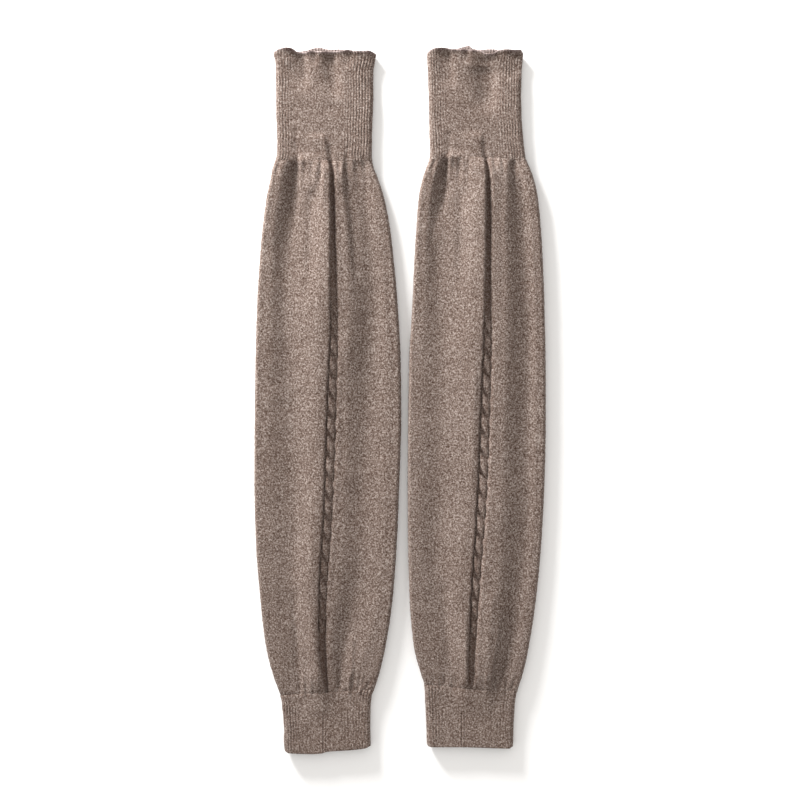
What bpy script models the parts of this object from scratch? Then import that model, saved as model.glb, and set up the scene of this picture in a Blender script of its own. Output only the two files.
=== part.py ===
"""A pair of knitted over-knee leg warmers, laid flat side by side.

Each warmer is a flattened knitted tube in three lengths: a ribbed thigh band with a wavy upper
edge, a plain-knit leg with a two-strand cable in a groove down its front, and a ribbed ankle
cuff. Every length is one closed wall, open at both ends, and lies flat on z = 0.

X runs across the pair, +Y towards the thigh ends and +Z up. All tables are in millimetres.
"down" is the distance below the thigh band's edge line, and x is measured from the warmer's own
centre line.
"""

from collections import namedtuple
from math import cos, pi, radians

import bmesh
import bpy
import numpy as np

MM = 0.001

# ---- Driving dimensions, in millimetres ----
AXIS_X = 72.45            # centre line of each warmer, left and right of the pair's middle
EDGE_LINE_Y = 334.55      # height of the thigh edge line above the pair's middle
WALL = 2.2                # knitted wall
SEAM_GAP = 0.3            # clearance between two lengths of one warmer
FOLD_Z = 4.6              # height of the side fold of the flattened tube
BAND_HEIGHT = 9.7         # bands, two walls and the space between them
BODY_LEVEL = 12.6         # mean height of the leg between its folds
FOLD_SCALE = 1.0          # depth of the leg's folds, against the fold tables
UNDER_ROUND = 5.0         # how far the underside's round edge reaches in
BAND_ROUND = 4.8          # the same for a band's upper side
BODY_ROUND = 9.0          # the same for the leg's upper side
JOIN_SWELL = 14.0         # length over which the leg swells out of a band
JOIN_RELIEF = 0.25        # share of the leg's relief that is left right at a join
INNER_GATHER = 0.45       # share of a gather that shows on the plain inner face

RIB_HEIGHT = 0.35         # rib crest or trough, from the band's mean surface
THIGH_RIBS = 36           # ribs across the front of the thigh band
ANKLE_RIBS = 32           # ribs across the front of the ankle cuff
CUFF_SEAM_DEPTH = 0.35    # extra depth of the trough that carries the cuff's seam

CABLE_REPEAT = 19.6       # length of one crossing of the cable
CABLE_HEIGHT = 1.9        # cable's crown above the gutters beside it
CABLE_DIP = 1.3           # how far a strand sinks where the other crosses it
STRAND_HALF = 0.30        # half width of a strand, as a share of the groove
STRAND_SWING = 0.28       # how far a strand swings to each side, as a share of the groove
OPEN_GROOVE = 5.0         # width of the groove where the cable shows at full height
GATHER_WIDENS = 0.2       # how much a gather widens, and fans outward, where it ends
GATHER_FANS = 0.12
GATHER_START = 2.0        # length over which a gather starts at its join
GUTTER = 0.45             # plain gutter on each side of the cable
SHOULDER_LEFT = 3.0       # rounding of the groove's left brim
SHOULDER_RIGHT = 2.2      # rounding of the groove's right brim

# ---- Tables ----
Outline = namedtuple("Outline", "down left right")
Groove = namedtuple("Groove", "down left width depth")
FoldPoint = namedtuple("FoldPoint", "down x height")
Gather = namedtuple("Gather", "x depth half_width fade")
EdgePoint = namedtuple("EdgePoint", "x down")
Dimple = namedtuple("Dimple", "x down across along depth")
Warmer = namedtuple(
    "Warmer",
    "name side outline groove folds top_gathers ankle_gathers front_edge back_edge dimples "
    "thigh_join ankle_join ankle_hem cuff_seam",
)

LEFT_OUTLINE = (
    Outline(-5.0, -49.8, 49.2),
    Outline(1.9, -49.4, 49.2),
    Outline(6.8, -47.8, 48.3),
    Outline(19.0, -47.1, 47.0),
    Outline(47.0, -46.9, 46.7),
    Outline(93.7, -46.0, 45.2),
    Outline(99.5, -46.8, 45.2),
    Outline(104.0, -48.4, 45.5),
    Outline(111.0, -50.8, 47.0),
    Outline(119.0, -52.2, 50.3),
    Outline(137.0, -56.1, 56.3),
    Outline(166.0, -60.1, 62.3),
    Outline(195.0, -62.8, 65.8),
    Outline(239.0, -65.6, 69.8),
    Outline(297.0, -67.3, 73.0),
    Outline(355.0, -68.1, 73.6),
    Outline(413.0, -68.4, 71.8),
    Outline(470.0, -67.0, 69.5),
    Outline(528.0, -62.6, 65.2),
    Outline(572.0, -57.4, 58.7),
    Outline(601.0, -50.3, 52.1),
    Outline(615.0, -45.1, 47.4),
    Outline(622.0, -42.6, 44.8),
    Outline(631.0, -41.0, 44.0),
    Outline(647.0, -39.8, 43.4),
    Outline(668.0, -39.2, 43.9),
    Outline(678.0, -38.4, 43.4),
)

RIGHT_OUTLINE = (
    Outline(-8.0, -46.4, 46.6),
    Outline(1.0, -46.3, 46.6),
    Outline(7.0, -45.9, 46.2),
    Outline(27.0, -44.8, 45.2),
    Outline(47.0, -44.2, 45.0),
    Outline(80.0, -43.6, 46.9),
    Outline(95.0, -43.2, 48.0),
    Outline(100.0, -43.6, 48.5),
    Outline(105.0, -45.0, 50.4),
    Outline(111.0, -47.3, 53.1),
    Outline(119.0, -49.9, 56.2),
    Outline(137.0, -54.0, 60.5),
    Outline(166.0, -56.5, 63.5),
    Outline(195.0, -58.3, 65.3),
    Outline(239.0, -60.3, 67.1),
    Outline(297.0, -63.5, 68.3),
    Outline(355.0, -64.5, 68.5),
    Outline(413.0, -65.0, 67.3),
    Outline(470.0, -64.6, 64.4),
    Outline(528.0, -63.1, 59.0),
    Outline(572.0, -59.3, 52.4),
    Outline(600.0, -52.2, 46.3),
    Outline(612.0, -48.5, 42.5),
    Outline(620.0, -48.0, 40.0),
    Outline(631.0, -47.6, 38.5),
    Outline(647.0, -46.9, 37.4),
    Outline(665.0, -46.4, 36.9),
    Outline(673.0, -45.6, 36.4),
)

LEFT_GROOVE = (
    Groove(101.0, 3.3, 2.6, 1.2),
    Groove(112.0, 3.8, 3.2, 3.0),
    Groove(150.0, 5.0, 3.8, 4.2),
    Groove(181.0, 5.7, 4.7, 4.6),
    Groove(207.0, 5.8, 5.8, 4.6),
    Groove(264.0, 5.3, 7.8, 4.4),
    Groove(317.0, 3.7, 9.2, 4.0),
    Groove(388.0, 1.7, 9.7, 3.6),
    Groove(442.0, -0.2, 9.5, 3.6),
    Groove(478.0, -2.6, 9.0, 3.8),
    Groove(514.0, -5.5, 8.0, 3.8),
    Groove(550.0, -6.8, 6.8, 3.8),
    Groove(585.0, -4.8, 5.8, 3.4),
    Groove(608.0, -2.4, 4.8, 2.6),
    Groove(620.0, -1.6, 4.2, 1.2),
)

RIGHT_GROOVE = (
    Groove(100.0, 8.9, 2.8, 1.2),
    Groove(112.0, 9.6, 3.4, 2.6),
    Groove(150.0, 11.6, 4.2, 4.0),
    Groove(192.0, 13.0, 5.0, 4.6),
    Groove(245.0, 11.6, 6.6, 4.6),
    Groove(300.0, 8.2, 8.2, 4.4),
    Groove(353.0, 5.3, 9.2, 4.0),
    Groove(407.0, 3.4, 9.7, 3.6),
    Groove(461.0, 0.5, 9.5, 3.4),
    Groove(514.0, -3.9, 8.6, 3.6),
    Groove(567.0, -6.8, 7.3, 3.6),
    Groove(602.0, -7.2, 7.0, 2.8),
    Groove(616.0, -7.2, 6.6, 1.2),
)

# One row for each ridge or valley of the leg, from its left side to its right side. A height is
# counted from BODY_LEVEL and scaled by FOLD_SCALE.
LEFT_FOLDS = {
    "side_swell": (
        FoldPoint(101, -41, 0.4),
        FoldPoint(142, -47, 0.6),
        FoldPoint(192, -53, 0.5),
        FoldPoint(286, -55, 0.6),
        FoldPoint(400, -57, 0.2),
        FoldPoint(520, -54, 0.1),
        FoldPoint(590, -45, 0.1),
        FoldPoint(620, -39, 0.0),
    ),
    "left_valley": (
        FoldPoint(101, -27, -2.0),
        FoldPoint(127, -27, -3.0),
        FoldPoint(142, -28, -3.2),
        FoldPoint(161, -32, -2.8),
        FoldPoint(190, -36, -2.2),
        FoldPoint(248, -39, -0.9),
        FoldPoint(335, -39, -0.8),
        FoldPoint(432, -38, -0.8),
        FoldPoint(528, -35, -0.5),
        FoldPoint(600, -31, -0.5),
        FoldPoint(620, -29, -0.4),
    ),
    "cable_ridge": (
        FoldPoint(101, 0.0, 2.0),
        FoldPoint(142, 1.0, 3.0),
        FoldPoint(200, 0.5, 3.9),
        FoldPoint(287, -2.5, 3.9),
        FoldPoint(335, -4.0, 2.8),
        FoldPoint(384, -5.0, 1.8),
        FoldPoint(432, -7.0, 2.1),
        FoldPoint(480, -11.0, 2.5),
        FoldPoint(528, -12.5, 2.6),
        FoldPoint(567, -11.5, 1.8),
        FoldPoint(600, -9.0, 1.5),
        FoldPoint(620, -7.0, 1.0),
    ),
    "far_ridge": (
        FoldPoint(101, 12.0, 2.0),
        FoldPoint(142, 15.0, 2.2),
        FoldPoint(186, 17.0, 2.4),
        FoldPoint(248, 21.0, 2.0),
        FoldPoint(287, 19.0, 2.0),
        FoldPoint(335, 18.5, 0.6),
        FoldPoint(384, 18.5, 0.2),
        FoldPoint(432, 15.0, 0.4),
        FoldPoint(480, 12.0, 0.4),
        FoldPoint(528, 7.5, 0.2),
        FoldPoint(567, 6.0, -0.6),
        FoldPoint(620, 8.0, -1.0),
    ),
    "right_valley": (
        FoldPoint(101, 31.0, -0.8),
        FoldPoint(142, 38.0, -1.0),
        FoldPoint(186, 43.5, -0.8),
        FoldPoint(248, 46.5, -1.3),
        FoldPoint(335, 43.0, -1.3),
        FoldPoint(432, 37.0, -1.5),
        FoldPoint(480, 38.0, -1.0),
        FoldPoint(528, 31.0, -1.7),
        FoldPoint(567, 23.5, -2.6),
        FoldPoint(597, 18.0, -2.0),
        FoldPoint(620, 19.0, -1.2),
    ),
    "side_lobe": (
        FoldPoint(101, 39.0, 0.0),
        FoldPoint(142, 50.0, 0.1),
        FoldPoint(190, 56.0, 0.2),
        FoldPoint(248, 60.5, 0.3),
        FoldPoint(350, 64.0, 0.2),
        FoldPoint(432, 61.0, 0.4),
        FoldPoint(528, 54.0, 0.3),
        FoldPoint(567, 45.0, 0.1),
        FoldPoint(600, 34.0, -0.2),
        FoldPoint(620, 33.0, -0.4),
    ),
}

RIGHT_FOLDS = {
    "side_swell": (
        FoldPoint(99, -36, 0.2),
        FoldPoint(142, -45, 0.6),
        FoldPoint(186, -49, 0.4),
        FoldPoint(248, -51, 0.2),
        FoldPoint(335, -56, 0.1),
        FoldPoint(432, -57, 0.1),
        FoldPoint(528, -55, 0.1),
        FoldPoint(572, -50, 0.1),
        FoldPoint(616, -40, 0.2),
    ),
    "left_valley": (
        FoldPoint(99, -17, -2.6),
        FoldPoint(112, -19, -3.2),
        FoldPoint(128, -25, -3.6),
        FoldPoint(142, -29, -3.0),
        FoldPoint(161, -34, -1.9),
        FoldPoint(186, -36, -1.3),
        FoldPoint(248, -33, -1.1),
        FoldPoint(287, -33, -0.8),
        FoldPoint(384, -38, -0.6),
        FoldPoint(432, -36, -1.2),
        FoldPoint(480, -37, -1.2),
        FoldPoint(528, -36, -0.8),
        FoldPoint(580, -28, -0.3),
        FoldPoint(616, -24, -0.3),
    ),
    "cable_ridge": (
        FoldPoint(99, 4.5, -0.3),
        FoldPoint(128, 5.5, 0.8),
        FoldPoint(145, 6.0, 2.2),
        FoldPoint(200, 7.0, 3.0),
        FoldPoint(240, 6.0, 3.2),
        FoldPoint(287, 3.0, 3.6),
        FoldPoint(335, 0.5, 2.6),
        FoldPoint(384, -1.0, 1.7),
        FoldPoint(432, -3.5, 1.4),
        FoldPoint(480, -6.5, 1.9),
        FoldPoint(528, -9.5, 2.0),
        FoldPoint(580, -11.5, 1.4),
        FoldPoint(616, -12.5, 0.9),
    ),
    "far_ridge": (
        FoldPoint(99, 28.0, 0.8),
        FoldPoint(142, 28.5, 1.0),
        FoldPoint(165, 26.0, 1.0),
        FoldPoint(205, 28.5, 1.6),
        FoldPoint(287, 27.0, 2.0),
        FoldPoint(384, 27.5, 1.9),
        FoldPoint(432, 26.5, 2.2),
        FoldPoint(480, 22.5, 2.1),
        FoldPoint(528, 21.0, 1.9),
        FoldPoint(567, 18.0, 1.3),
        FoldPoint(600, 12.5, 1.1),
        FoldPoint(616, 9.5, 0.7),
    ),
    "right_valley": (
        FoldPoint(99, 38.0, -0.6),
        FoldPoint(128, 44.0, -0.9),
        FoldPoint(165, 45.5, -1.3),
        FoldPoint(200, 48.0, -0.9),
        FoldPoint(287, 51.0, -0.8),
        FoldPoint(384, 49.5, -0.9),
        FoldPoint(432, 50.5, -0.6),
        FoldPoint(480, 47.0, -0.7),
        FoldPoint(528, 43.0, -0.8),
        FoldPoint(567, 36.0, -1.0),
        FoldPoint(597, 28.0, -1.4),
        FoldPoint(616, 22.0, -0.9),
    ),
    "side_lobe": (
        FoldPoint(99, 43.0, 0.0),
        FoldPoint(142, 53.5, 0.1),
        FoldPoint(190, 57.0, 0.2),
        FoldPoint(287, 60.0, 0.3),
        FoldPoint(432, 59.0, 0.3),
        FoldPoint(528, 52.0, 0.2),
        FoldPoint(567, 46.0, 0.1),
        FoldPoint(600, 38.0, 0.0),
        FoldPoint(616, 33.0, 0.0),
    ),
}

LEFT_TOP_GATHERS = (
    Gather(-44.0, 0.8, 1.7, 26),
    Gather(-30.5, 1.3, 3.6, 60),
    Gather(-18.8, 1.3, 2.0, 30),
    Gather(-12.2, 1.0, 1.8, 24),
    Gather(-5.8, 1.0, 1.8, 28),
    Gather(12.8, 1.1, 1.6, 20),
    Gather(19.3, 1.8, 2.2, 62),
    Gather(29.8, 1.1, 2.8, 48),
    Gather(37.2, 0.8, 1.8, 22),
)
LEFT_ANKLE_GATHERS = (
    Gather(-21.0, 1.3, 2.0, 18),
    Gather(-14.6, 0.8, 1.6, 14),
    Gather(-8.6, 0.8, 1.6, 16),
    Gather(14.0, 1.0, 2.4, 40),
    Gather(25.2, 1.4, 1.8, 20),
    Gather(33.4, 1.0, 2.2, 26),
    Gather(39.6, 0.8, 1.5, 12),
)
RIGHT_TOP_GATHERS = (
    Gather(-38.5, 0.8, 1.8, 20),
    Gather(-27.8, 1.8, 2.4, 34),
    Gather(-17.0, 1.4, 2.2, 26),
    Gather(-7.5, 0.8, 2.0, 22),
    Gather(18.5, 1.0, 1.8, 18),
    Gather(26.0, 0.8, 1.8, 20),
    Gather(36.0, 1.6, 2.6, 60),
    Gather(43.0, 0.8, 1.6, 16),
)
RIGHT_ANKLE_GATHERS = (
    Gather(-38.0, 0.6, 1.6, 14),
    Gather(-28.0, 0.8, 1.8, 16),
    Gather(-17.5, 0.8, 1.8, 16),
    Gather(2.5, 0.6, 1.6, 14),
    Gather(19.5, 1.6, 2.0, 34),
    Gather(28.5, 1.0, 1.8, 20),
    Gather(35.0, 0.8, 1.5, 14),
)

# The wavy thigh edge: the front layer's edge, and the back layer's where it stands above it.
LEFT_FRONT_EDGE = (
    EdgePoint(-49.7, -0.6),
    EdgePoint(-44.5, -3.2),
    EdgePoint(-38.0, -4.4),
    EdgePoint(-32.5, -3.6),
    EdgePoint(-27.0, -0.5),
    EdgePoint(-20.0, 0.2),
    EdgePoint(-13.5, -1.4),
    EdgePoint(-4.0, -0.8),
    EdgePoint(8.0, -0.7),
    EdgePoint(17.0, -1.6),
    EdgePoint(22.5, -2.3),
    EdgePoint(29.0, -1.1),
    EdgePoint(42.0, -1.4),
    EdgePoint(49.3, 1.4),
)
LEFT_BACK_EDGE = (
    EdgePoint(-49.7, -0.6),
    EdgePoint(-30.0, -1.6),
    EdgePoint(-19.0, -2.8),
    EdgePoint(-11.0, -4.7),
    EdgePoint(-5.0, -5.2),
    EdgePoint(1.0, -3.7),
    EdgePoint(10.0, -3.0),
    EdgePoint(19.0, -2.8),
    EdgePoint(28.0, -1.2),
    EdgePoint(49.3, 1.4),
)
RIGHT_FRONT_EDGE = (
    EdgePoint(-46.4, 0.3),
    EdgePoint(-42.0, -2.9),
    EdgePoint(-37.0, -4.6),
    EdgePoint(-30.0, -4.8),
    EdgePoint(-21.0, -3.2),
    EdgePoint(-10.0, -2.9),
    EdgePoint(0.0, -2.2),
    EdgePoint(5.5, -1.8),
    EdgePoint(10.5, 1.1),
    EdgePoint(18.0, 0.8),
    EdgePoint(22.5, -1.8),
    EdgePoint(30.0, -2.8),
    EdgePoint(38.0, -2.1),
    EdgePoint(44.5, -2.4),
    EdgePoint(46.6, 1.6),
)
RIGHT_BACK_EDGE = (
    EdgePoint(-46.4, 0.3),
    EdgePoint(-30.0, -3.6),
    EdgePoint(-19.0, -4.5),
    EdgePoint(-12.0, -6.3),
    EdgePoint(-6.0, -7.6),
    EdgePoint(-1.5, -4.6),
    EdgePoint(5.0, -3.7),
    EdgePoint(13.0, -4.3),
    EdgePoint(19.0, -4.1),
    EdgePoint(26.0, -2.2),
    EdgePoint(46.6, 1.6),
)
LEFT_ANKLE_HEM = (
    EdgePoint(-38.8, 674.2),
    EdgePoint(-35.5, 675.8),
    EdgePoint(-13.0, 676.7),
    EdgePoint(-4.0, 676.2),
    EdgePoint(2.0, 674.6),
    EdgePoint(27.0, 672.7),
    EdgePoint(39.0, 671.1),
    EdgePoint(43.6, 669.2),
)
RIGHT_ANKLE_HEM = (
    EdgePoint(-46.2, 668.0),
    EdgePoint(-42.5, 670.4),
    EdgePoint(-14.0, 670.8),
    EdgePoint(17.0, 671.6),
    EdgePoint(33.0, 672.0),
    EdgePoint(36.7, 670.4),
)
LEFT_DIMPLES = (
    Dimple(-33.0, 16.0, 7.0, 9.0, 0.7),
    Dimple(2.5, 14.0, 5.0, 11.0, 0.6),
    Dimple(-12.5, 88.0, 7.0, 11.0, -0.7),
)
RIGHT_DIMPLES = (
    Dimple(-32.0, 9.0, 5.0, 8.0, 0.4),
    Dimple(6.5, 18.0, 9.0, 9.0, 0.8),
    Dimple(-5.0, 88.0, 8.0, 11.0, -0.7),
)

WARMERS = (
    Warmer(
        "left", -1, LEFT_OUTLINE, LEFT_GROOVE, LEFT_FOLDS, LEFT_TOP_GATHERS, LEFT_ANKLE_GATHERS,
        LEFT_FRONT_EDGE, LEFT_BACK_EDGE, LEFT_DIMPLES,
        (102.6, 104.2), (620.0, 615.6), LEFT_ANKLE_HEM, -1.9,
    ),
    Warmer(
        "right", 1, RIGHT_OUTLINE, RIGHT_GROOVE, RIGHT_FOLDS, RIGHT_TOP_GATHERS,
        RIGHT_ANKLE_GATHERS, RIGHT_FRONT_EDGE, RIGHT_BACK_EDGE, RIGHT_DIMPLES,
        (100.2, 100.2), (610.6, 616.2), RIGHT_ANKLE_HEM, -13.5,
    ),
)

# ---- Mesh density ----
FINE_ROWS = 104           # rows down the cable strip, four for each crossing
JOIN_STEPS = (0, 1, 2, 3, 5, 8, 12)     # fine rows beside a join that run right across
WIDE_STEP = 5             # fine rows between the rows that run right across elsewhere
LEFT_COLUMNS = 13         # columns between the left side and the groove
RIGHT_COLUMNS = 12        # columns between the groove and the right side
CABLE_COLUMNS = 5         # columns on the cable
CORNER_ANGLES = (0, 32, 62)             # columns round a side fold, in degrees
BRIM_MARKS = (0.42, 0.08)               # columns on a groove's brim, as shares of its rounding
BRIM_FOOT = 0.12          # distance from a groove's side to the column at its foot
ROOF_COLUMNS = 5          # plain inner roof, columns on each side of the groove
ROOF_BRIM = 0.6           # how far the roof's columns stand off the groove, as a share
UNDER_SHARES = (0.01, 0.036, 0.5, 0.964, 0.99)
FLOOR_SHARES = (0.0, 0.015, 0.06, 0.35, 0.65, 0.94, 0.985, 1.0)
BAND_COLUMNS = 22         # columns on a band's underside and on each inner face
ROUND_SHARES = (0.012, 0.035)
FLAT_SHARES = (0.06, 0.94)
THIGH_ROWS = (0.0, 0.05, 0.13, 0.28, 0.6, 1.0)
ANKLE_ROWS = (0.0, 0.35, 0.9, 1.0)
INNER_ROWS = (0.0, 0.15, 0.5, 1.0)

YARN_COLOUR = (0.233, 0.184, 0.160, 1.0)
YARN_ROUGHNESS = 0.92
SHARP_ANGLE = 45          # in degrees


def curve(table, column, at):
    """Reads one named column of a table along its first column, with no overshoot."""
    xs = np.array([row[0] for row in table], float)
    ys = np.array([getattr(row, column) for row in table], float)
    slope = np.diff(ys) / np.diff(xs)
    tangent = np.zeros_like(ys)
    same_way = slope[:-1] * slope[1:] > 0
    mean = 2 * slope[:-1] * slope[1:] / np.where(same_way, slope[:-1] + slope[1:], 1.0)
    tangent[1:-1] = np.where(same_way, mean, 0.0)
    tangent[0] = slope[0]
    tangent[-1] = slope[-1]
    at = np.clip(at, xs[0], xs[-1])
    k = np.clip(np.searchsorted(xs, at) - 1, 0, len(xs) - 2)
    h = xs[k + 1] - xs[k]
    t = (at - xs[k]) / h
    start = (1 + 2 * t) * (1 - t) ** 2 * ys[k] + t * (1 - t) ** 2 * h * tangent[k]
    end = t * t * (3 - 2 * t) * ys[k + 1] + t * t * (t - 1) * h * tangent[k + 1]
    return float(start + end)


def ease(t):
    """A smooth step from 0 to 1."""
    t = min(max(t, 0.0), 1.0)
    return t * t * (3 - 2 * t)


def puff(t):
    """A rise from 0 to 1 that is steepest where it starts."""
    t = min(max(t, 0.0), 1.0)
    return 1 - (1 - t) ** 2


def arc(d, reach):
    """Rise of a round edge, from 0 at its side to 1 where it is level."""
    t = 1 - min(max(d / reach, 0.0), 1.0)
    return (1 - t * t) ** 0.5


def sides(warmer, down):
    """The left and right outline at a distance down the warmer."""
    return curve(warmer.outline, "left", down), curve(warmer.outline, "right", down)


def join_line(ends, warmer, x):
    """The straight line of a join, given by its two ends, at x."""
    middle = 0.5 * (ends[0] + ends[1])
    left, right = sides(warmer, middle)
    return ends[0] + (ends[1] - ends[0]) * (x - left) / (right - left)


def body_share(warmer, x, down):
    """0 at a join and on the bands, 1 where the leg has its full height."""
    top = join_line(warmer.thigh_join, warmer, x)
    foot = join_line(warmer.ankle_join, warmer, x)
    return puff((down - top) / JOIN_SWELL) * puff((foot - down) / JOIN_SWELL)


def relief_share(share):
    """How much of the leg's relief shows, from a little at a join to all of it."""
    return JOIN_RELIEF + (1 - JOIN_RELIEF) * share


def fold_height(warmer, x, down):
    """Height of the leg's ridges and valleys, level at each and smooth between them."""
    keys = [
        (curve(points, "x", down), curve(points, "height", down))
        for points in warmer.folds.values()
    ]
    if x <= keys[0][0]:
        return keys[0][1]
    for (x0, z0), (x1, z1) in zip(keys, keys[1:]):
        if x <= x1:
            return z0 + (z1 - z0) * ease((x - x0) / (x1 - x0))
    return keys[-1][1]


def gather_depth(warmer, x, down):
    """Depth of the small gathers that fan out of both joins."""
    depth = 0.0
    top = join_line(warmer.thigh_join, warmer, x)
    foot = join_line(warmer.ankle_join, warmer, x)
    for rows, away in ((warmer.top_gathers, down - top), (warmer.ankle_gathers, foot - down)):
        for row in rows:
            run = max(away, 0.0) / row.fade
            half_width = row.half_width * (1 + GATHER_WIDENS * run)
            centre = row.x * (1 + GATHER_FANS * run)
            across = np.exp(-((x - centre) / half_width) ** 2)
            depth += row.depth * across * (1 - ease(run)) * ease(away / GATHER_START)
    return depth


def groove_sides(warmer, down):
    """The x of the groove's left and right side."""
    left = curve(warmer.groove, "left", down)
    return left, left + curve(warmer.groove, "width", down)


def groove_cut(warmer, x, down):
    """Depth of the groove that the cable lies in, with round brims."""
    left, right = groove_sides(warmer, down)
    depth = curve(warmer.groove, "depth", down)
    if x < left:
        return depth * (1 - arc(left - x, SHOULDER_LEFT))
    if x > right:
        return depth * (1 - arc(x - right, SHOULDER_RIGHT))
    return depth


def cable_rise(warmer, x, down):
    """The two strands of the cable, each crossing over the other once in every repeat."""
    left, right = groove_sides(warmer, down)
    across = (x - left) / (right - left) - 0.5
    rise = 0.0
    for strand in (0, 1):
        turn = pi * (down / CABLE_REPEAT + strand)
        centre = -STRAND_SWING * cos(turn)
        front = np.sin(turn)
        offset = (across - centre) / STRAND_HALF
        if abs(offset) < 1:
            crown = (1 - offset * offset) ** 0.5
            rise = max(rise, crown * (CABLE_HEIGHT - CABLE_DIP * (0.5 - 0.5 * front)))
    return rise * ease((right - left) / OPEN_GROOVE)


def level(warmer, x, down):
    """Height of the upper side away from its round edges, with no ribs and no cable."""
    share = body_share(warmer, x, down)
    height = BAND_HEIGHT
    if share > 0:
        folds = BODY_LEVEL + FOLD_SCALE * fold_height(warmer, x, down)
        height += share * (folds - BAND_HEIGHT)
    for row in warmer.dimples:
        spot = ((x - row.x) / row.across) ** 2 + ((down - row.down) / row.along) ** 2
        height -= row.depth * np.exp(-spot)
    return height


def upper(warmer, x, down, relief):
    """Height of the upper outer surface: round edges, folds, groove, and relief on top."""
    left, right = sides(warmer, down)
    share = body_share(warmer, x, down)
    reach = BAND_ROUND + share * (BODY_ROUND - BAND_ROUND)
    edge = arc(min(x - left, right - x), reach)
    top = level(warmer, x, down)
    return FOLD_Z + (top - FOLD_Z) * edge + relief


def under(warmer, x, down):
    """Height of the underside, flat but for its round edges."""
    left, right = sides(warmer, down)
    return FOLD_Z * (1 - arc(min(x - left, right - x), UNDER_ROUND))


def place(x, down, z):
    """A point in metres, from the warmer's own x, distance down and height."""
    return (x * MM, (EDGE_LINE_Y - down) * MM, z * MM)


def settle(down, x_at, down_at):
    """The x and down of a point whose x follows its down, while its down follows its x."""
    for _ in range(3):
        down = down_at(x_at(down))
    return x_at(down), down


def inner_x(warmer, share, down):
    """The x of a share, 0 to 1, across the inner face."""
    left, right = sides(warmer, down)
    return left + WALL + share * (right - left - 2 * WALL)


def inner_height(warmer, x, down, side):
    """Height of the plain inner face: side is 1 for its roof and -1 for its floor."""
    left, right = sides(warmer, down)
    edge = min(x - left, right - x) - WALL
    if side < 0:
        return FOLD_Z - (FOLD_Z - WALL) * arc(edge, UNDER_ROUND - WALL)
    share = body_share(warmer, x, down)
    reach = BAND_ROUND + share * (BODY_ROUND - BAND_ROUND)
    roof = level(warmer, x, down) - WALL
    roof -= INNER_GATHER * gather_depth(warmer, x, down)
    groove_left, groove_right = groove_sides(warmer, down)
    if groove_left - WALL < x < groove_right + WALL:
        roof -= curve(warmer.groove, "depth", down) * relief_share(share)
    return FOLD_Z + (roof - FOLD_Z) * arc(edge, reach - WALL)


def zip_rims(mesh, outer, inner):
    """Closes the rim between two loops of (vertex, turn) pairs with different counts."""
    i = 0
    j = 0
    outer = outer + [(outer[0][0], outer[0][1] + 2.0)]
    inner = inner + [(inner[0][0], inner[0][1] + 2.0)]
    while i < len(outer) - 1 or j < len(inner) - 1:
        step_outer = j == len(inner) - 1
        if not step_outer and i < len(outer) - 1:
            step_outer = outer[i + 1][1] <= inner[j + 1][1]
        if step_outer:
            mesh.faces.new((outer[i][0], outer[i + 1][0], inner[j][0]))
            i += 1
        else:
            mesh.faces.new((outer[i][0], inner[j + 1][0], inner[j][0]))
            j += 1


def bridge(mesh, rings):
    """Joins each ring of (vertex, turn) pairs to the next one."""
    for near, far in zip(rings, rings[1:]):
        count = len(near)
        for k in range(count):
            n = (k + 1) % count
            mesh.faces.new((near[k][0], near[n][0], far[n][0], far[k][0]))


def finish_node(name, mesh, empty):
    """Turns the faces outward and makes the node's object and material."""
    bmesh.ops.recalc_face_normals(mesh, faces=mesh.faces[:])
    data = bpy.data.meshes.new(name)
    mesh.to_mesh(data)
    mesh.free()
    data.shade_smooth()
    data.set_sharp_from_angle(angle=radians(SHARP_ANGLE))
    node = bpy.data.objects.new(name, data)
    node.parent = empty
    bpy.context.collection.objects.link(node)
    material = bpy.data.materials.new(name)
    material.use_nodes = True
    shader = material.node_tree.nodes["Principled BSDF"]
    shader.inputs["Base Color"].default_value = YARN_COLOUR
    shader.inputs["Roughness"].default_value = YARN_ROUGHNESS
    shader.inputs["Metallic"].default_value = 0.0
    data.materials.append(material)


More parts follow.
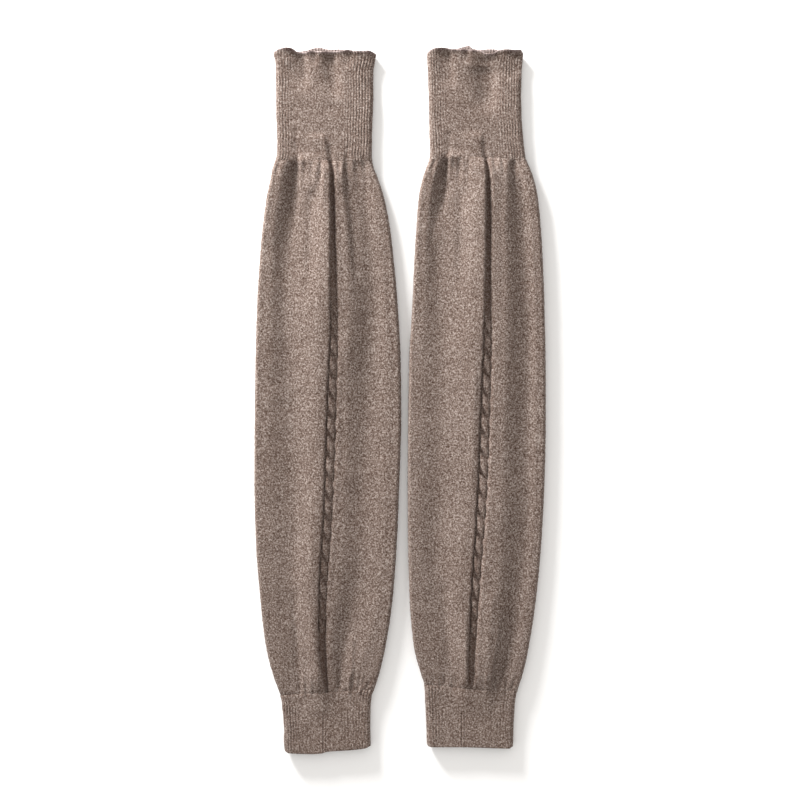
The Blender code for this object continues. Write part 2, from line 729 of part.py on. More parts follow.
def band(warmer, name, empty, ribs, rows, start, end, seam_x):
    """A ribbed band: start and end give its two edges as functions of x and side."""
    mesh = bmesh.new()
    steps = 2 * ribs

    def rib_relief(x, down, crest):
        """A rib's crest or trough, which runs out round the side folds."""
        left, right = sides(warmer, down)
        relief = RIB_HEIGHT if crest else -RIB_HEIGHT
        if seam_x is not None and not crest and abs(x - seam_x) < (right - left) / steps:
            relief -= CUFF_SEAM_DEPTH
        return relief * arc(min(x - left, right - x), BAND_ROUND)

    def ring(fraction, points, x_of, z_of):
        """Places (share, side, crest) points at one fraction of the band's length."""
        placed = []
        for share, side, crest in points:
            x, down = settle(
                0.5 * (start(0.0, side) + end(0.0, side)),
                lambda d, s=share: x_of(s, d),
                lambda x, s=side: start(x, s) + fraction * (end(x, s) - start(x, s)),
            )
            vertex = mesh.verts.new(place(x, down, z_of(x, down, side, crest)))
            placed.append((vertex, share if side > 0 else 2.0 - share))
        return placed

    def outer_x(share, down):
        left, right = sides(warmer, down)
        return left + share * (right - left)

    def outer_z(x, down, side, crest):
        if side < 0:
            return under(warmer, x, down)
        return upper(warmer, x, down, rib_relief(x, down, crest))

    def flat_shares(count):
        low, high = FLAT_SHARES
        middle = [low + (high - low) * k / count for k in range(count + 1)]
        return list(ROUND_SHARES) + middle + [1 - s for s in reversed(ROUND_SHARES)]

    outer_points = [(k / steps, 1, k % 2 == 1) for k in range(steps + 1)]
    outer_points += [(share, -1, False) for share in reversed(flat_shares(BAND_COLUMNS))]
    roof_shares = [0.0] + flat_shares(BAND_COLUMNS) + [1.0]
    inner_points = [(share, 1, False) for share in roof_shares]
    inner_points += [(share, -1, False) for share in reversed(roof_shares[1:-1])]

    outer_rings = [ring(row, outer_points, outer_x, outer_z) for row in rows]
    inner_rings = [
        ring(
            row, inner_points,
            lambda share, down: inner_x(warmer, share, down),
            lambda x, down, side, crest: inner_height(warmer, x, down, side),
        )
        for row in INNER_ROWS
    ]
    bridge(mesh, outer_rings)
    bridge(mesh, inner_rings)
    zip_rims(mesh, outer_rings[0], inner_rings[0])
    zip_rims(mesh, outer_rings[-1], inner_rings[-1])
    finish_node(name, mesh, empty)


def spread(start, end, count):
    """Evenly spaced values from start to end, both included."""
    return [start + (end - start) * k / count for k in range(count + 1)]


def body_columns(warmer, down):
    """The x of every column of the leg's upper side, in three runs: left, cable and right."""
    left, right = sides(warmer, down)
    groove_left, groove_right = groove_sides(warmer, down)
    corner = [BODY_ROUND * (1 - cos(radians(angle))) for angle in CORNER_ANGLES]
    left_run = [left + d for d in corner]
    left_run += spread(left + BODY_ROUND, groove_left - SHOULDER_LEFT, LEFT_COLUMNS)
    left_run += [groove_left - mark * SHOULDER_LEFT for mark in BRIM_MARKS]
    gutter = min(GUTTER, 0.2 * (groove_right - groove_left))
    cable_run = [groove_left + BRIM_FOOT]
    cable_run += spread(groove_left + gutter, groove_right - gutter, CABLE_COLUMNS - 1)
    cable_run.append(groove_right - BRIM_FOOT)
    right_run = [groove_right + mark * SHOULDER_RIGHT for mark in reversed(BRIM_MARKS)]
    right_run += spread(groove_right + SHOULDER_RIGHT, right - BODY_ROUND, RIGHT_COLUMNS)
    right_run += [right - d for d in reversed(corner)]
    return left_run, cable_run, right_run


def roof_columns(warmer, down):
    """Shares across the leg's inner roof, with four columns round the groove."""
    left, right = sides(warmer, down)
    groove_left, groove_right = groove_sides(warmer, down)
    marks = [
        groove_left - WALL - ROOF_BRIM * SHOULDER_LEFT,
        groove_left - ROOF_BRIM * WALL,
        groove_right + ROOF_BRIM * WALL,
        groove_right + WALL + ROOF_BRIM * SHOULDER_RIGHT,
    ]
    marks = [(mark - left - WALL) / (right - left - 2 * WALL) for mark in marks]
    side, turn = FLOOR_SHARES[2], FLOOR_SHARES[1]
    shares = [0.0, turn] + spread(side, marks[0], ROOF_COLUMNS)
    shares += marks[1:3]
    return shares + spread(marks[3], 1 - side, ROOF_COLUMNS) + [1 - turn, 1.0]


def wide_rows():
    """The fine rows that run right across the leg, closer together beside the joins."""
    start = list(JOIN_STEPS)
    middle = list(range(start[-1] + WIDE_STEP, FINE_ROWS - start[-1] - 1, WIDE_STEP))
    return start + middle + [FINE_ROWS - step for step in reversed(start)]


def body(warmer, name, empty):
    """The plain-knit leg with its folds, gathers, groove and cable."""
    mesh = bmesh.new()

    def vertex(row, x_of, z_of):
        """A vertex on one fine row, whose x and height follow the distance down."""

        def down_of(x):
            top = join_line(warmer.thigh_join, warmer, x) + 0.5 * SEAM_GAP
            foot = join_line(warmer.ankle_join, warmer, x) - 0.5 * SEAM_GAP
            return top + row / FINE_ROWS * (foot - top)

        x, down = settle(down_of(0.0), x_of, down_of)
        return mesh.verts.new(place(x, down, z_of(x, down)))

    def outer_z(x, down):
        relief = cable_rise(warmer, x, down)
        relief -= groove_cut(warmer, x, down)
        relief -= gather_depth(warmer, x, down)
        left, right = sides(warmer, down)
        edge = arc(min(x - left, right - x), BODY_ROUND)
        relief *= edge * relief_share(body_share(warmer, x, down))
        return upper(warmer, x, down, relief)

    def outer_run(row, run):
        """The outer vertices of one of a row's three runs of columns."""
        count = len(body_columns(warmer, 0.0)[run])
        return [
            vertex(row, lambda down, c=c: body_columns(warmer, down)[run][c], outer_z)
            for c in range(count)
        ]

    def under_run(row):
        def x_of(down, share):
            left, right = sides(warmer, down)
            return left + share * (right - left)

        return [
            vertex(row, lambda down, s=share: x_of(down, s), lambda x, d: under(warmer, x, d))
            for share in UNDER_SHARES
        ]

    def inner_loop(row):
        """The inner face's ring of (vertex, turn) pairs on one row."""
        middle = 0.5 * (warmer.thigh_join[0] + warmer.ankle_join[0])
        down = warmer.thigh_join[0] + row / FINE_ROWS * 2 * (middle - warmer.thigh_join[0])
        loop = []
        for k, share in enumerate(roof_columns(warmer, down)):
            made = vertex(
                row,
                lambda d, k=k: inner_x(warmer, roof_columns(warmer, d)[k], d),
                lambda x, d: inner_height(warmer, x, d, 1),
            )
            loop.append((made, share))
        for share in reversed(FLOOR_SHARES[1:-1]):
            made = vertex(
                row,
                lambda d, s=share: inner_x(warmer, s, d),
                lambda x, d: inner_height(warmer, x, d, -1),
            )
            loop.append((made, 2.0 - share))
        return loop

    def fan(pivots, strip_edge, rows, flip):
        """Joins one wide cell's side to the finer rows of the cable strip."""
        middle = (rows[0] + rows[1]) // 2
        triangles = [(pivots[0], strip_edge[middle], pivots[1])]
        for r in range(*rows):
            pivot = pivots[0] if r < middle else pivots[1]
            triangles.append((pivot, strip_edge[r], strip_edge[r + 1]))
        for triangle in triangles:
            mesh.faces.new(triangle[::-1] if flip else triangle)

    def quads(near, far):
        for c in range(len(near) - 1):
            mesh.faces.new((near[c], near[c + 1], far[c + 1], far[c]))

    rows = wide_rows()
    strip = [outer_run(row, 1) for row in range(FINE_ROWS + 1)]
    lefts = [outer_run(row, 0) for row in rows]
    rights = [outer_run(row, 2) for row in rows]
    unders = [under_run(row) for row in rows]
    strip_left = [run[0] for run in strip]
    strip_right = [run[-1] for run in strip]

    for near, far in zip(strip, strip[1:]):
        quads(near, far)
    for k in range(len(rows) - 1):
        span = (rows[k], rows[k + 1])
        quads(lefts[k], lefts[k + 1])
        quads(rights[k], rights[k + 1])
        fan((lefts[k][-1], lefts[k + 1][-1]), strip_left, span, True)
        fan((rights[k][0], rights[k + 1][0]), strip_right, span, False)
        near = [lefts[k][0]] + unders[k] + [rights[k][-1]]
        far = [lefts[k + 1][0]] + unders[k + 1] + [rights[k + 1][-1]]
        quads(far, near)

    inner = [inner_loop(row) for row in rows[::2]]
    bridge(mesh, [loop[::-1] for loop in inner])
    for k, down in ((0, warmer.thigh_join[0]), (-1, warmer.ankle_join[0])):
        xs = sum(body_columns(warmer, down), [])
        vertices = lefts[k] + strip[k] + rights[k]
        loop = [(v, (x - xs[0]) / (xs[-1] - xs[0])) for v, x in zip(vertices, xs)]
        loop += [(v, 2.0 - s) for v, s in zip(reversed(unders[k]), reversed(UNDER_SHARES))]
        zip_rims(mesh, loop, inner[k])
    finish_node(name, mesh, empty)


def build_warmer(warmer):
    """The three lengths of one warmer, under one empty on its centre line."""
    empty = bpy.data.objects.new(warmer.name + "_warmer", None)
    empty.location = (warmer.side * AXIS_X * MM, 0, 0)
    bpy.context.collection.objects.link(empty)

    def thigh_edge(x, side):
        return curve(warmer.front_edge if side > 0 else warmer.back_edge, "down", x)

    def thigh_end(x, side):
        return join_line(warmer.thigh_join, warmer, x) - 0.5 * SEAM_GAP

    def cuff_start(x, side):
        return join_line(warmer.ankle_join, warmer, x) + 0.5 * SEAM_GAP

    def cuff_hem(x, side):
        return curve(warmer.ankle_hem, "down", x)

    band(
        warmer, warmer.name + "_thigh_rib", empty, THIGH_RIBS, THIGH_ROWS,
        thigh_edge, thigh_end, None,
    )
    body(warmer, warmer.name + "_body", empty)
    band(
        warmer, warmer.name + "_ankle_rib", empty, ANKLE_RIBS, ANKLE_ROWS,
        cuff_start, cuff_hem, warmer.cuff_seam,
    )


def main():
    for thing in list(bpy.data.objects):
        bpy.data.objects.remove(thing, do_unlink=True)
    for warmer in WARMERS:
        build_warmer(warmer)
    bpy.context.view_layer.update()


main()
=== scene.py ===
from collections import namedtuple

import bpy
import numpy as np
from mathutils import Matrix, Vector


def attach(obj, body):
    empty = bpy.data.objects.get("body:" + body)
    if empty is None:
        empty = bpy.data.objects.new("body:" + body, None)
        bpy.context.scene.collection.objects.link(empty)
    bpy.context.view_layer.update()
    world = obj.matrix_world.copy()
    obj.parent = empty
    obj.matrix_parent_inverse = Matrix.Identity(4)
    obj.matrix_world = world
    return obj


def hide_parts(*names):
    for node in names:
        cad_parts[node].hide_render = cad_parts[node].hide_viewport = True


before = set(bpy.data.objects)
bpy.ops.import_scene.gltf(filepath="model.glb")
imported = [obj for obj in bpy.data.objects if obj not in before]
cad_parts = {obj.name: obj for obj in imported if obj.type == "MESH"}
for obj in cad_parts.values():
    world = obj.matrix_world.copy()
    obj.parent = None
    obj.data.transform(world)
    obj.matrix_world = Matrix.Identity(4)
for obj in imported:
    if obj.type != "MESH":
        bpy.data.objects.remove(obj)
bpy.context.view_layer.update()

# The look of a pair of knitted over-knee leg warmers, laid flat side by side. Each warmer is a
# flattened tube of marl yarn in three lengths: a ribbed thigh band with a wavy overlocked edge, a
# plain-knit leg with a two-strand cable in a groove down its front, and a ribbed ankle cuff. Each
# length is one fine closed shell that stands for its solid.
#
# Tables and shapes are in millimetres. "down" is the distance below the thigh band's edge line,
# and x is measured from the warmer's own centre line. +Y points to the thigh ends.

MM = 0.001

# ---- Driving dimensions: places as in the solids, heights as in the cloth ----
AXIS_X = 72.45  # centre line of each warmer, left and right of the pair's middle
EDGE_LINE_Y = 334.55  # how far the thigh edge line lies above the pair's middle
FOLD_Z = 4.7  # height at which the sides of a tube turn over
BAND_HEIGHT = 8.9  # height of a band
BODY_LEVEL = 9.4  # mean height of the leg between its folds
FOLD_GAIN = 1.8  # the folds' height against the solids'
GATHER_GAIN = 1.8  # the gathers' depth against the solids'
LEAST_HEIGHT = 3.8  # the upper side hardly sinks below this, so that the layers lie apart
UNDER_ROUND = 5.0  # how far in the underside's round edge reaches
BAND_ROUND = 4.8  # the same for a band's upper side
BODY_ROUND = 3.0  # the same for the leg's upper side
SIDE_FALL = 0.1  # how far the leg falls towards its right side
FALL_REACH = 8.0  # how far in from that side the fall starts
UNDER_TROUGHS = 0.28  # depth of the underside's troughs against the front's, mirrored
DEEPEST_TROUGH = 0.9  # and the deepest that one may be

# ---- Joins, creases and gathers ----
JOIN_SWELL = 14.0  # length over which the leg swells out of the thigh band
FOOT_SWELL = 22.0  # length over which it sinks again towards the cuff
FOOT_SHARE = 0.62  # share of the leg's form that is left at the ankle join
CUFF_FALL = 30.0  # length over which that share fades out on the cuff
JOIN_RELIEF = 0.5  # share of the leg's relief that is left right at a join
TUCK = 1.4  # how far the leg runs on inside a band
JOIN_DIP = 0.45  # depth of the dip along an ankle's join
JOIN_DIP_WIDTH = 1.7  # half width of the dip
JOIN_ROW = 0.22  # height of the row of stitches beside that join
JOIN_ROW_PLACE = 1.2  # how far from the join it lies
JOIN_ROW_WIDTH = 0.8  # half width of the row
CREASE_START = 0.15  # share of a crease's length over which it deepens
CREASE_END = 0.45  # and over which it fades
GATHER_START = 4.0  # length over which a gather starts at its join
GATHER_WIDENS = 0.2  # how much a gather widens, and fans outward, where it ends
GATHER_FANS = 0.12
INNER_GATHERS = 0.5  # depth of the gathers on the inner face against the outer

# ---- Cable and groove ----
CABLE_REPEAT = 19.6  # length of one crossing of the cable
CABLE_HEIGHT = 3.3  # a strand's crown above the gutters beside it
CABLE_STEP = 0.45  # share of that height which it falls at the groove's right side
STRAND_SLOPE = 1.5  # how far a strand runs down for each millimetre across
GUTTER_ROUND = 5.2  # how far from a gutter a strand is at full height
SLIT_GROOVE = 5.7  # width of the groove below which it is a slit with no cable
OPEN_GROOVE = 7.1  # width of the groove where the cable shows at full height
SHOULDER_LEFT = 1.8  # rounding of the groove's left brim
SHOULDER_RIGHT = 4.0  # rounding of the groove's right brim
GROOVE_SHADE_DEPTH = 4.5  # depth at which the groove's painted shade is at full strength

# ---- Knitting ----
WALL = 1.7  # thickness of the shells
HEM_WALL = 1.1  # the same at a knitted edge
HEM_REACH = 0.1  # share of a band's inner face over which it thickens from there
THIGH_RIBS = 36  # ribs across the front of the thigh band
ANKLE_RIBS = 32  # ribs across the front of the ankle cuff
LEG_WALES = 104  # wales across the front of the leg
COURSE = 1.05  # height of one course of stitches
FACE_BUMP = 0.05  # height of single stitches on the leg's face and on its sides
SIDE_BUMP = 0.16
SIDE_REACH = 4.0  # how far in from a side its stitches stand out
RIB_RELIEF = 0.42  # half height of a rib
RIB_POWER = 0.7  # below 1, a rib's crown is broader than the gutter beside it
RIB_MIDDLE = 0.16  # share of the rib's height in the middle of a band
RIBS_THIGH = (0.8, 1.0)  # share of it beside a thigh band's left and right fold
RIBS_ANKLE = (1.3, 0.55)  # the same for a cuff
RIB_SIDES = (6.0, 9.0)  # width beside the left and right fold where the ribs keep that share
RIB_FADES = (14.0, 26.0)  # width over which they fade from there
RIB_HEM = 0.8  # share of it at the thigh band's hem
RIB_HEM_REACH = 5.0  # how far from the hem that fades
RIB_CURL = 0.75  # how much a rib deepens for each millimetre that the hem curls up
RIB_TURN = 1.5  # how soon below a side fold the ribs only sink in, off the floor

# ---- Edges ----
EDGE_PITCH = 1.45  # distance between two stitches of the overlocked thigh edge
EDGE_SWELL = 0.35  # how far these stitches stand out, as a share of the hem
RIM_ANGLES = (30, 60, 90, 120, 150)  # where the rings of a hem's round rim lie
RIM_COURSE = 0.3  # length of cloth from one ring of the hem's rim to the next
CURL_FULL = 1.7  # lift at which the curled hem's painted shade is at full strength
CURL_REACH = 4.6  # how far from the hem it starts to curl up
SEAM_LENGTH = 40.0  # how far above the hem a cuff's seam shows
SEAM_FADE = 8.0  # length over which it ends there
SEAM_PITCH = 2.9  # distance between the two ridges beside the seam
CUFF_SEAM_DEPTH = 0.35  # depth of the seam line down a cuff

# ---- Unevenness: how strong, how long its waves are, and what is added to the warmer's seed ----
UNEVEN = {
    "leg": (0.10, 34.0, 0),  # heights of the leg and of the bands
    "band": (0.09, 22.0, 1),
    "ribs": (0.16, 24.0, 3),  # places of the ribs, in ribs
    "rib_depth": (0.45, 14.0, 4),  # share of the ribs' depth
    "left_brim": (0.3, 11.0, 5),  # sway of the groove's sides
    "right_brim": (0.3, 9.0, 6),
    "dip": (0.6, 7.0, 7),  # share of the depth of the dip along an ankle's join
}

# ---- Yarn ----
DARK_YARN = (0.04, 0.02, 0.013)  # the marl's three tones
MID_YARN = (0.173, 0.129, 0.109)
LIGHT_YARN = (0.44, 0.378, 0.345)
GROOVE_SHADE_COLOUR = (0.075, 0.036, 0.022)  # painted shade down in the groove
CURL_SHADE_COLOUR = (0.08, 0.04, 0.045)  # painted shade where the thigh edge curls up
EDGE_YARN = (0.43, 0.355, 0.345)  # the thread round the thigh edge
GROOVE_SHADE_MIX = 0.32  # the most that each of these three covers the marl
CURL_SHADE_MIX = 0.75
EDGE_MIX = 0.75
FLECK = 1.55  # size of the flecks in the marl
FIBRE = 0.32  # size of the fluff
CLOUD = 45.0  # size of the soft changes of tone
# how far the flecks, the single stitches, the fluff and the soft changes each sway the tone
GRAIN_SHARE = 1.10
STITCH_SHARE = 0.60
FIBRE_SHARE = 0.22
CLOUD_SHARE = 0.12
STITCH_LEAN = 0.9  # how far a stitch's legs rise, in courses
STITCH_ROUND = 0.8  # how far a leg falls towards its sides
STITCH_GAP_SHADE = 0.35  # how dark the painted shade is in the gaps between the stitches
STITCH_BUMP = 0.55  # height of the stitches, the flecks and the fluff in the bump
GRAIN_BUMP = 0.22
FIBRE_BUMP = 0.16
BUMP_DEPTH = 0.5  # depth of a bump of height 1

# ---- Cuts, in metres: flat width all round the tube, and length ----
THIGH_CUT = (0.196, 0.105)
LEG_CUT = (0.292, 0.516)
LEG_CUT_AREA = 0.134
ANKLE_CUT = (0.176, 0.058)

# ---- Floor, light and camera; places and the window's size in metres ----
FLOOR_SIZE = 6.0
FLOOR_GAP = 0.0002
FLOOR_WHITE = 0.95
WINDOW_PLACE = (-1.035, 1.656, 0.433)
WINDOW_SIZE = 0.7
WINDOW_POWER = 148.0
WINDOW_COLOUR = (1.0, 0.995, 0.985)
SKY_COLOUR = (1.0, 0.977, 0.948, 1.0)
SKY_STRENGTH = 0.878
LENS = 100.0
SENSOR = 36.0
FRAME_WIDTH = 772.8  # width of the photo's frame, in millimetres, at the height FRAME_Z
FRAME_Z = 8.0
FRAME_CENTRE_Y = -0.65

# ---- Mesh density ----
LEG_ROWS = 356
LEG_INNER_ROWS = 40
THIGH_ROWS = 74
ANKLE_ROWS = 44
BAND_INNER_ROWS = 10
INNER_CROWDING = 1.6  # above 1, a band's inner rows lie closer together at its hem
END_CREASE = 0.002  # share of a band within which it turns into its cut end
RIB_COLUMNS = 8  # columns on one rib
UNDER_COLUMNS = 38  # columns across the leg's underside
UNDER_EVEN = 0.35  # above 0, these columns crowd less at the sides
CORNER_STEPS = 9  # columns round a side fold
PLAIN_STEPS = 62  # columns between a side fold and the groove
BRIM_STEPS = 7  # columns on a groove's brim
CABLE_STEPS = 26  # columns on the cable
ROUNDS = 4  # rounds in which rows between two lines are found


def table(columns, *rows):
    """Rows of numbers under named columns, as one array for each column."""
    return dict(zip(columns.split(), np.array(rows, float).T))


def lines(*groups):
    """A table for each ridge or valley, with its height from BODY_LEVEL before FOLD_GAIN."""
    return [table("down x height", *rows) for rows in groups]


LEFT_OUTLINE = table(
    "down left right",
    (-5, -49.8, 49.2), (1.9, -49.4, 49.2), (6.8, -48.1, 48), (19, -47.5, 46.5), (47, -47.3, 46.2),
    (93.7, -46.2, 44.8), (99.5, -46.9, 44.8), (104, -48.4, 45.5), (111, -50.8, 47),
    (119, -52.2, 50.3), (137, -56.1, 56.3), (166, -60.1, 62.3), (195, -62.8, 65.8),
    (239, -65.6, 69.8), (297, -67.3, 73), (355, -68.1, 73.6), (413, -68.4, 71.8), (470, -67, 69.5),
    (528, -62.6, 65.2), (572, -57.4, 58.7), (601, -50.3, 52.1), (615, -45.1, 47.4),
    (622, -42.6, 44.8), (631, -41, 44), (647, -39.8, 43.4), (668, -39.2, 43.9), (678, -38.4, 43.4),
)
RIGHT_OUTLINE = table(
    "down left right",
    (-8, -46.4, 46.6), (1, -46.3, 46.6), (7, -46, 45.9), (27, -45, 44.8), (47, -44.4, 44.5),
    (80, -43.8, 46.4), (95, -43.2, 48), (100, -43.6, 48.5), (105, -45, 50.4), (111, -47.3, 53.1),
    (119, -49.9, 56.2), (137, -54, 60.5), (166, -56.5, 63.5), (195, -58.3, 65.3),
    (239, -60.3, 67.1), (297, -63.5, 68.3), (355, -64.5, 68.5), (413, -65, 67.3),
    (470, -64.6, 64.4), (528, -63.1, 59), (572, -59.3, 52.4), (600, -52.2, 46.3),
    (612, -48.5, 42.5), (620, -48, 40), (631, -47.6, 38.5), (647, -46.9, 37.4), (665, -46.4, 36.9),
    (673, -45.6, 36.4),
)
# The groove: where its left side lies, its width and its depth.
LEFT_GROOVE = table(
    "down left width depth",
    (101, 3.6, 0.9, 0.9), (105, 4.4, 1.4, 2.6), (112, 5.2, 2.8, 5), (150, 5.6, 3.3, 5.2),
    (181, 5.8, 4, 4.6), (207, 5.5, 5.2, 4.2), (264, 5.3, 6.8, 3.8), (317, 2.8, 8.2, 3.6),
    (388, 0.3, 8.5, 3.3), (442, -1.4, 8.2, 3.5), (478, -3.6, 7.9, 3.8), (514, -5.8, 7.2, 4.2),
    (550, -6.1, 6.6, 5), (580, -5, 5.6, 5.4), (600, -2.6, 4.2, 5), (612, -0.6, 3, 4.6),
    (620, 0.6, 1.4, 2.6),
)
RIGHT_GROOVE = table(
    "down left width depth",
    (98, 9, 0.9, 0.9), (103, 10, 1.4, 2.2), (111, 10.9, 2.6, 4.2), (150, 11.2, 3.7, 5.2),
    (192, 10.5, 3.9, 4.6), (245, 9.2, 6, 4), (300, 7.2, 8, 3.8), (353, 4.9, 8.8, 3.6),
    (407, 3, 8.8, 3.4), (461, 0.3, 8.2, 3.6), (514, -3.4, 7.5, 4.2), (567, -5.6, 6.4, 5),
    (592, -6.4, 5.6, 4), (605, -6.2, 4.6, 3.7), (614, -5.6, 2, 1.6),
)
# The leg's folds, from left to right.
LEFT_FOLDS = lines(
    (  # side swell
        (101, -41, 0.7), (142, -48, 0.9), (192, -53, 0.5), (286, -55, 0.6), (400, -57, 0.2),
        (520, -54, 0.1), (590, -45, 0.1), (620, -39, 0),
    ),
    (  # left valley
        (101, -27, -1.6), (127, -27, -2.3), (142, -28, -2.9), (161, -32, -2.8), (190, -36, -2.2),
        (248, -38, -1.2), (335, -33, -1.3), (432, -31, -1.2), (528, -33, -0.9), (567, -28, -0.9),
        (600, -25, -1), (620, -23, -0.8),
    ),
    (  # cable ridge
        (101, 1, 2.4), (142, 3.5, 3.4), (200, 3, 4), (287, -2.5, 3), (335, -4, 2.3), (384, -5, 1.6),
        (432, -7, 2.1), (480, -11, 2.5), (528, -12.5, 2.6), (567, -10.5, 2.7), (600, -5.5, 2.6),
        (620, -2.5, 1.5),
    ),
    (  # far ridge
        (101, 12, 2), (142, 15, 2.2), (186, 17, 2.4), (248, 21, 2), (287, 19, 2), (335, 18.5, 0.6),
        (384, 18.5, 0.2), (432, 15, 0.4), (480, 12, 0.4), (528, 7.5, 0.2), (567, 4, 0.5),
        (600, 5, 0.2), (620, 6, -0.3),
    ),
    (  # right valley
        (101, 31, -0.8), (142, 38, -1), (186, 43.5, -0.8), (248, 46.5, -1.3), (335, 42, -1.6),
        (432, 37, -1.5), (480, 36, -1.2), (528, 28, -2), (567, 21, -2.2), (597, 16.5, -1.4),
        (620, 18, -0.8),
    ),
    (  # side lobe
        (101, 39, 0), (142, 50, 0.1), (190, 56, 0.2), (248, 60.5, 0.3), (350, 64, 0.2),
        (432, 61, 0.4), (528, 54, 0.3), (567, 45, 0.1), (600, 34, -0.2), (620, 33, -0.4),
    ),
)
RIGHT_FOLDS = lines(
    (  # side swell
        (99, -36, 0.2), (142, -45, 0.6), (186, -49, 0.4), (248, -51, 0.2), (335, -56, 0.1),
        (432, -57, 0.1), (528, -55, 0.1), (572, -50, 0.1), (616, -40, 0.2),
    ),
    (  # left valley
        (99, -27, -1.6), (112, -28, -2.4), (128, -30, -3.1), (142, -32, -2.5), (161, -35, -1.6),
        (186, -36, -1.3), (248, -33, -1.1), (287, -33, -0.8), (384, -35, -0.9), (432, -35, -1.3),
        (480, -37, -1.2), (528, -35, -1.1), (580, -26, -0.6), (616, -22, -0.6),
    ),
    (  # cable ridge
        (99, 11, 2.2), (128, 11.5, 3.4), (145, 11, 3.9), (200, 10, 3.9), (240, 8.5, 3.6),
        (287, 3, 3.2), (335, 0.5, 2.3), (384, -1, 1.7), (432, -3.5, 1.4), (480, -6.5, 1.9),
        (528, -9.5, 2), (580, -9, 2.3), (616, -8, 1.3),
    ),
    (  # far ridge
        (99, 28, 1.7), (142, 28, 2.4), (165, 27, 2.6), (205, 28.5, 2.6), (287, 27, 2.5),
        (384, 25, 2.4), (432, 24, 2.7), (480, 22, 2.4), (528, 20.5, 2.3), (567, 20.5, 2.3),
        (600, 15.5, 2.4), (616, 12.5, 1.3),
    ),
    (  # right valley
        (99, 38, -0.6), (128, 44, -0.6), (165, 45.5, -0.8), (200, 48, -0.4), (287, 51, -0.8),
        (384, 49.5, -0.9), (432, 50.5, -0.6), (480, 47, -0.7), (528, 41, -0.8), (567, 35, -1.4),
        (597, 26.5, -1.2), (616, 21, -0.3),
    ),
    (  # side lobe
        (99, 43, 0.2), (142, 53.5, 0.6), (190, 57, 0.9), (287, 60, 0.6), (432, 59, 0.3),
        (528, 52, 0.2), (567, 46, 0.1), (600, 38, 0), (616, 33, 0),
    ),
)
# The gathers at the joins, by their x there.
LEFT_TOP_GATHERS = table(
    "x depth half_width fade",
    (-44, 0.8, 1.7, 26), (-30.5, 1.3, 3.6, 60), (-18.8, 0.3, 2, 30), (-12.2, 0.6, 1.8, 24),
    (-4, 0.9, 2.2, 50), (12.8, 1.1, 1.6, 20), (19.8, 1.3, 2.2, 62), (29.8, 0.5, 2.8, 48),
    (37.2, 0.8, 1.8, 22),
)
LEFT_ANKLE_GATHERS = table(
    "x depth half_width fade",
    (-23.6, 0.9, 1.8, 22), (-17.8, 0.5, 1.4, 20), (14, 1, 2.4, 40), (25.2, 1.4, 1.8, 20),
    (33.4, 1, 2.2, 26), (39.6, 0.8, 1.5, 12),
)
RIGHT_TOP_GATHERS = table(
    "x depth half_width fade",
    (-38.5, 0.8, 1.8, 20), (-27.8, 1.8, 2.4, 34), (-14.6, 0.8, 2, 40), (-6, 0.7, 1.8, 40),
    (18.5, 1, 1.8, 18), (26, 0.8, 1.8, 20), (36, 1.6, 2.6, 60), (43, 0.8, 1.6, 16),
)
RIGHT_ANKLE_GATHERS = table(
    "x depth half_width fade",
    (-38, 0.6, 1.6, 14), (-28, 0.8, 1.8, 16), (-17.5, 0.8, 1.8, 16), (2.5, 0.2, 1.6, 14),
    (17.6, 2.2, 2, 34), (28.5, 1, 1.8, 20), (35, 0.8, 1.5, 14),
)
# The wavy thigh edge of the front and the back layer, and the ankle hem.
LEFT_FRONT_EDGE = table(
    "x down",
    (-49.7, -0.6), (-44.5, -3.2), (-38, -4.4), (-32.5, -3.6), (-27, -0.5), (-20, 0.2),
    (-13.5, -1.4), (-4, -0.8), (8, -0.7), (17, -1.6), (22.5, -2.3), (29, -1.1), (42, -1.4),
    (49.3, 1.4),
)
LEFT_BACK_EDGE = table(
    "x down",
    (-49.7, -0.6), (-30, -1.6), (-19, -3), (-11, -5.3), (-5, -5.8), (1, -4.3), (8, -3.9),
    (14, -4.1), (20, -3.2), (28, -1.2), (49.3, 1.4),
)
RIGHT_FRONT_EDGE = table(
    "x down",
    (-46.4, 0.3), (-42, -2.9), (-37, -4.2), (-30, -4.3), (-21, -3), (-10, -2.9), (0, -2.2),
    (5.5, -1.8), (10.5, 1.1), (18, 0.8), (22.5, -1.8), (30, -2.8), (38, -2.1), (44.5, -2.4),
    (46.6, 1.6),
)
RIGHT_BACK_EDGE = table(
    "x down",
    (-46.4, 0.3), (-30, -3.6), (-19, -4.5), (-12, -6.3), (-6, -7.6), (-1.5, -4.6), (5, -3.7),
    (13, -4.3), (19, -4.1), (26, -2.2), (46.6, 1.6),
)
LEFT_ANKLE_HEM = table(
    "x down",
    (-38.8, 674.2), (-35.5, 675.8), (-13, 676.7), (-4, 676.2), (2, 674.6), (27, 672.7), (39, 671.1),
    (43.6, 669.2),
)
RIGHT_ANKLE_HEM = table(
    "x down",
    (-46.2, 668), (-45, 669.3), (-42, 669.9), (-14, 670.1), (17, 670.9), (33, 671.3), (36.7, 669.7),
)
# Soft dents in the bands; one of negative depth is a swelling.
LEFT_DIMPLES = table(
    "x down across along depth",
    (-33, 16, 7, 9, 0.7), (2.5, 14, 5, 11, 0.6), (-12.5, 88, 7, 11, -0.7),
)
RIGHT_DIMPLES = table(
    "x down across along depth",
    (-32, 9, 5, 8, 0.4), (6.5, 18, 9, 9, 0.8), (-5, 88, 8, 11, -0.7),
)

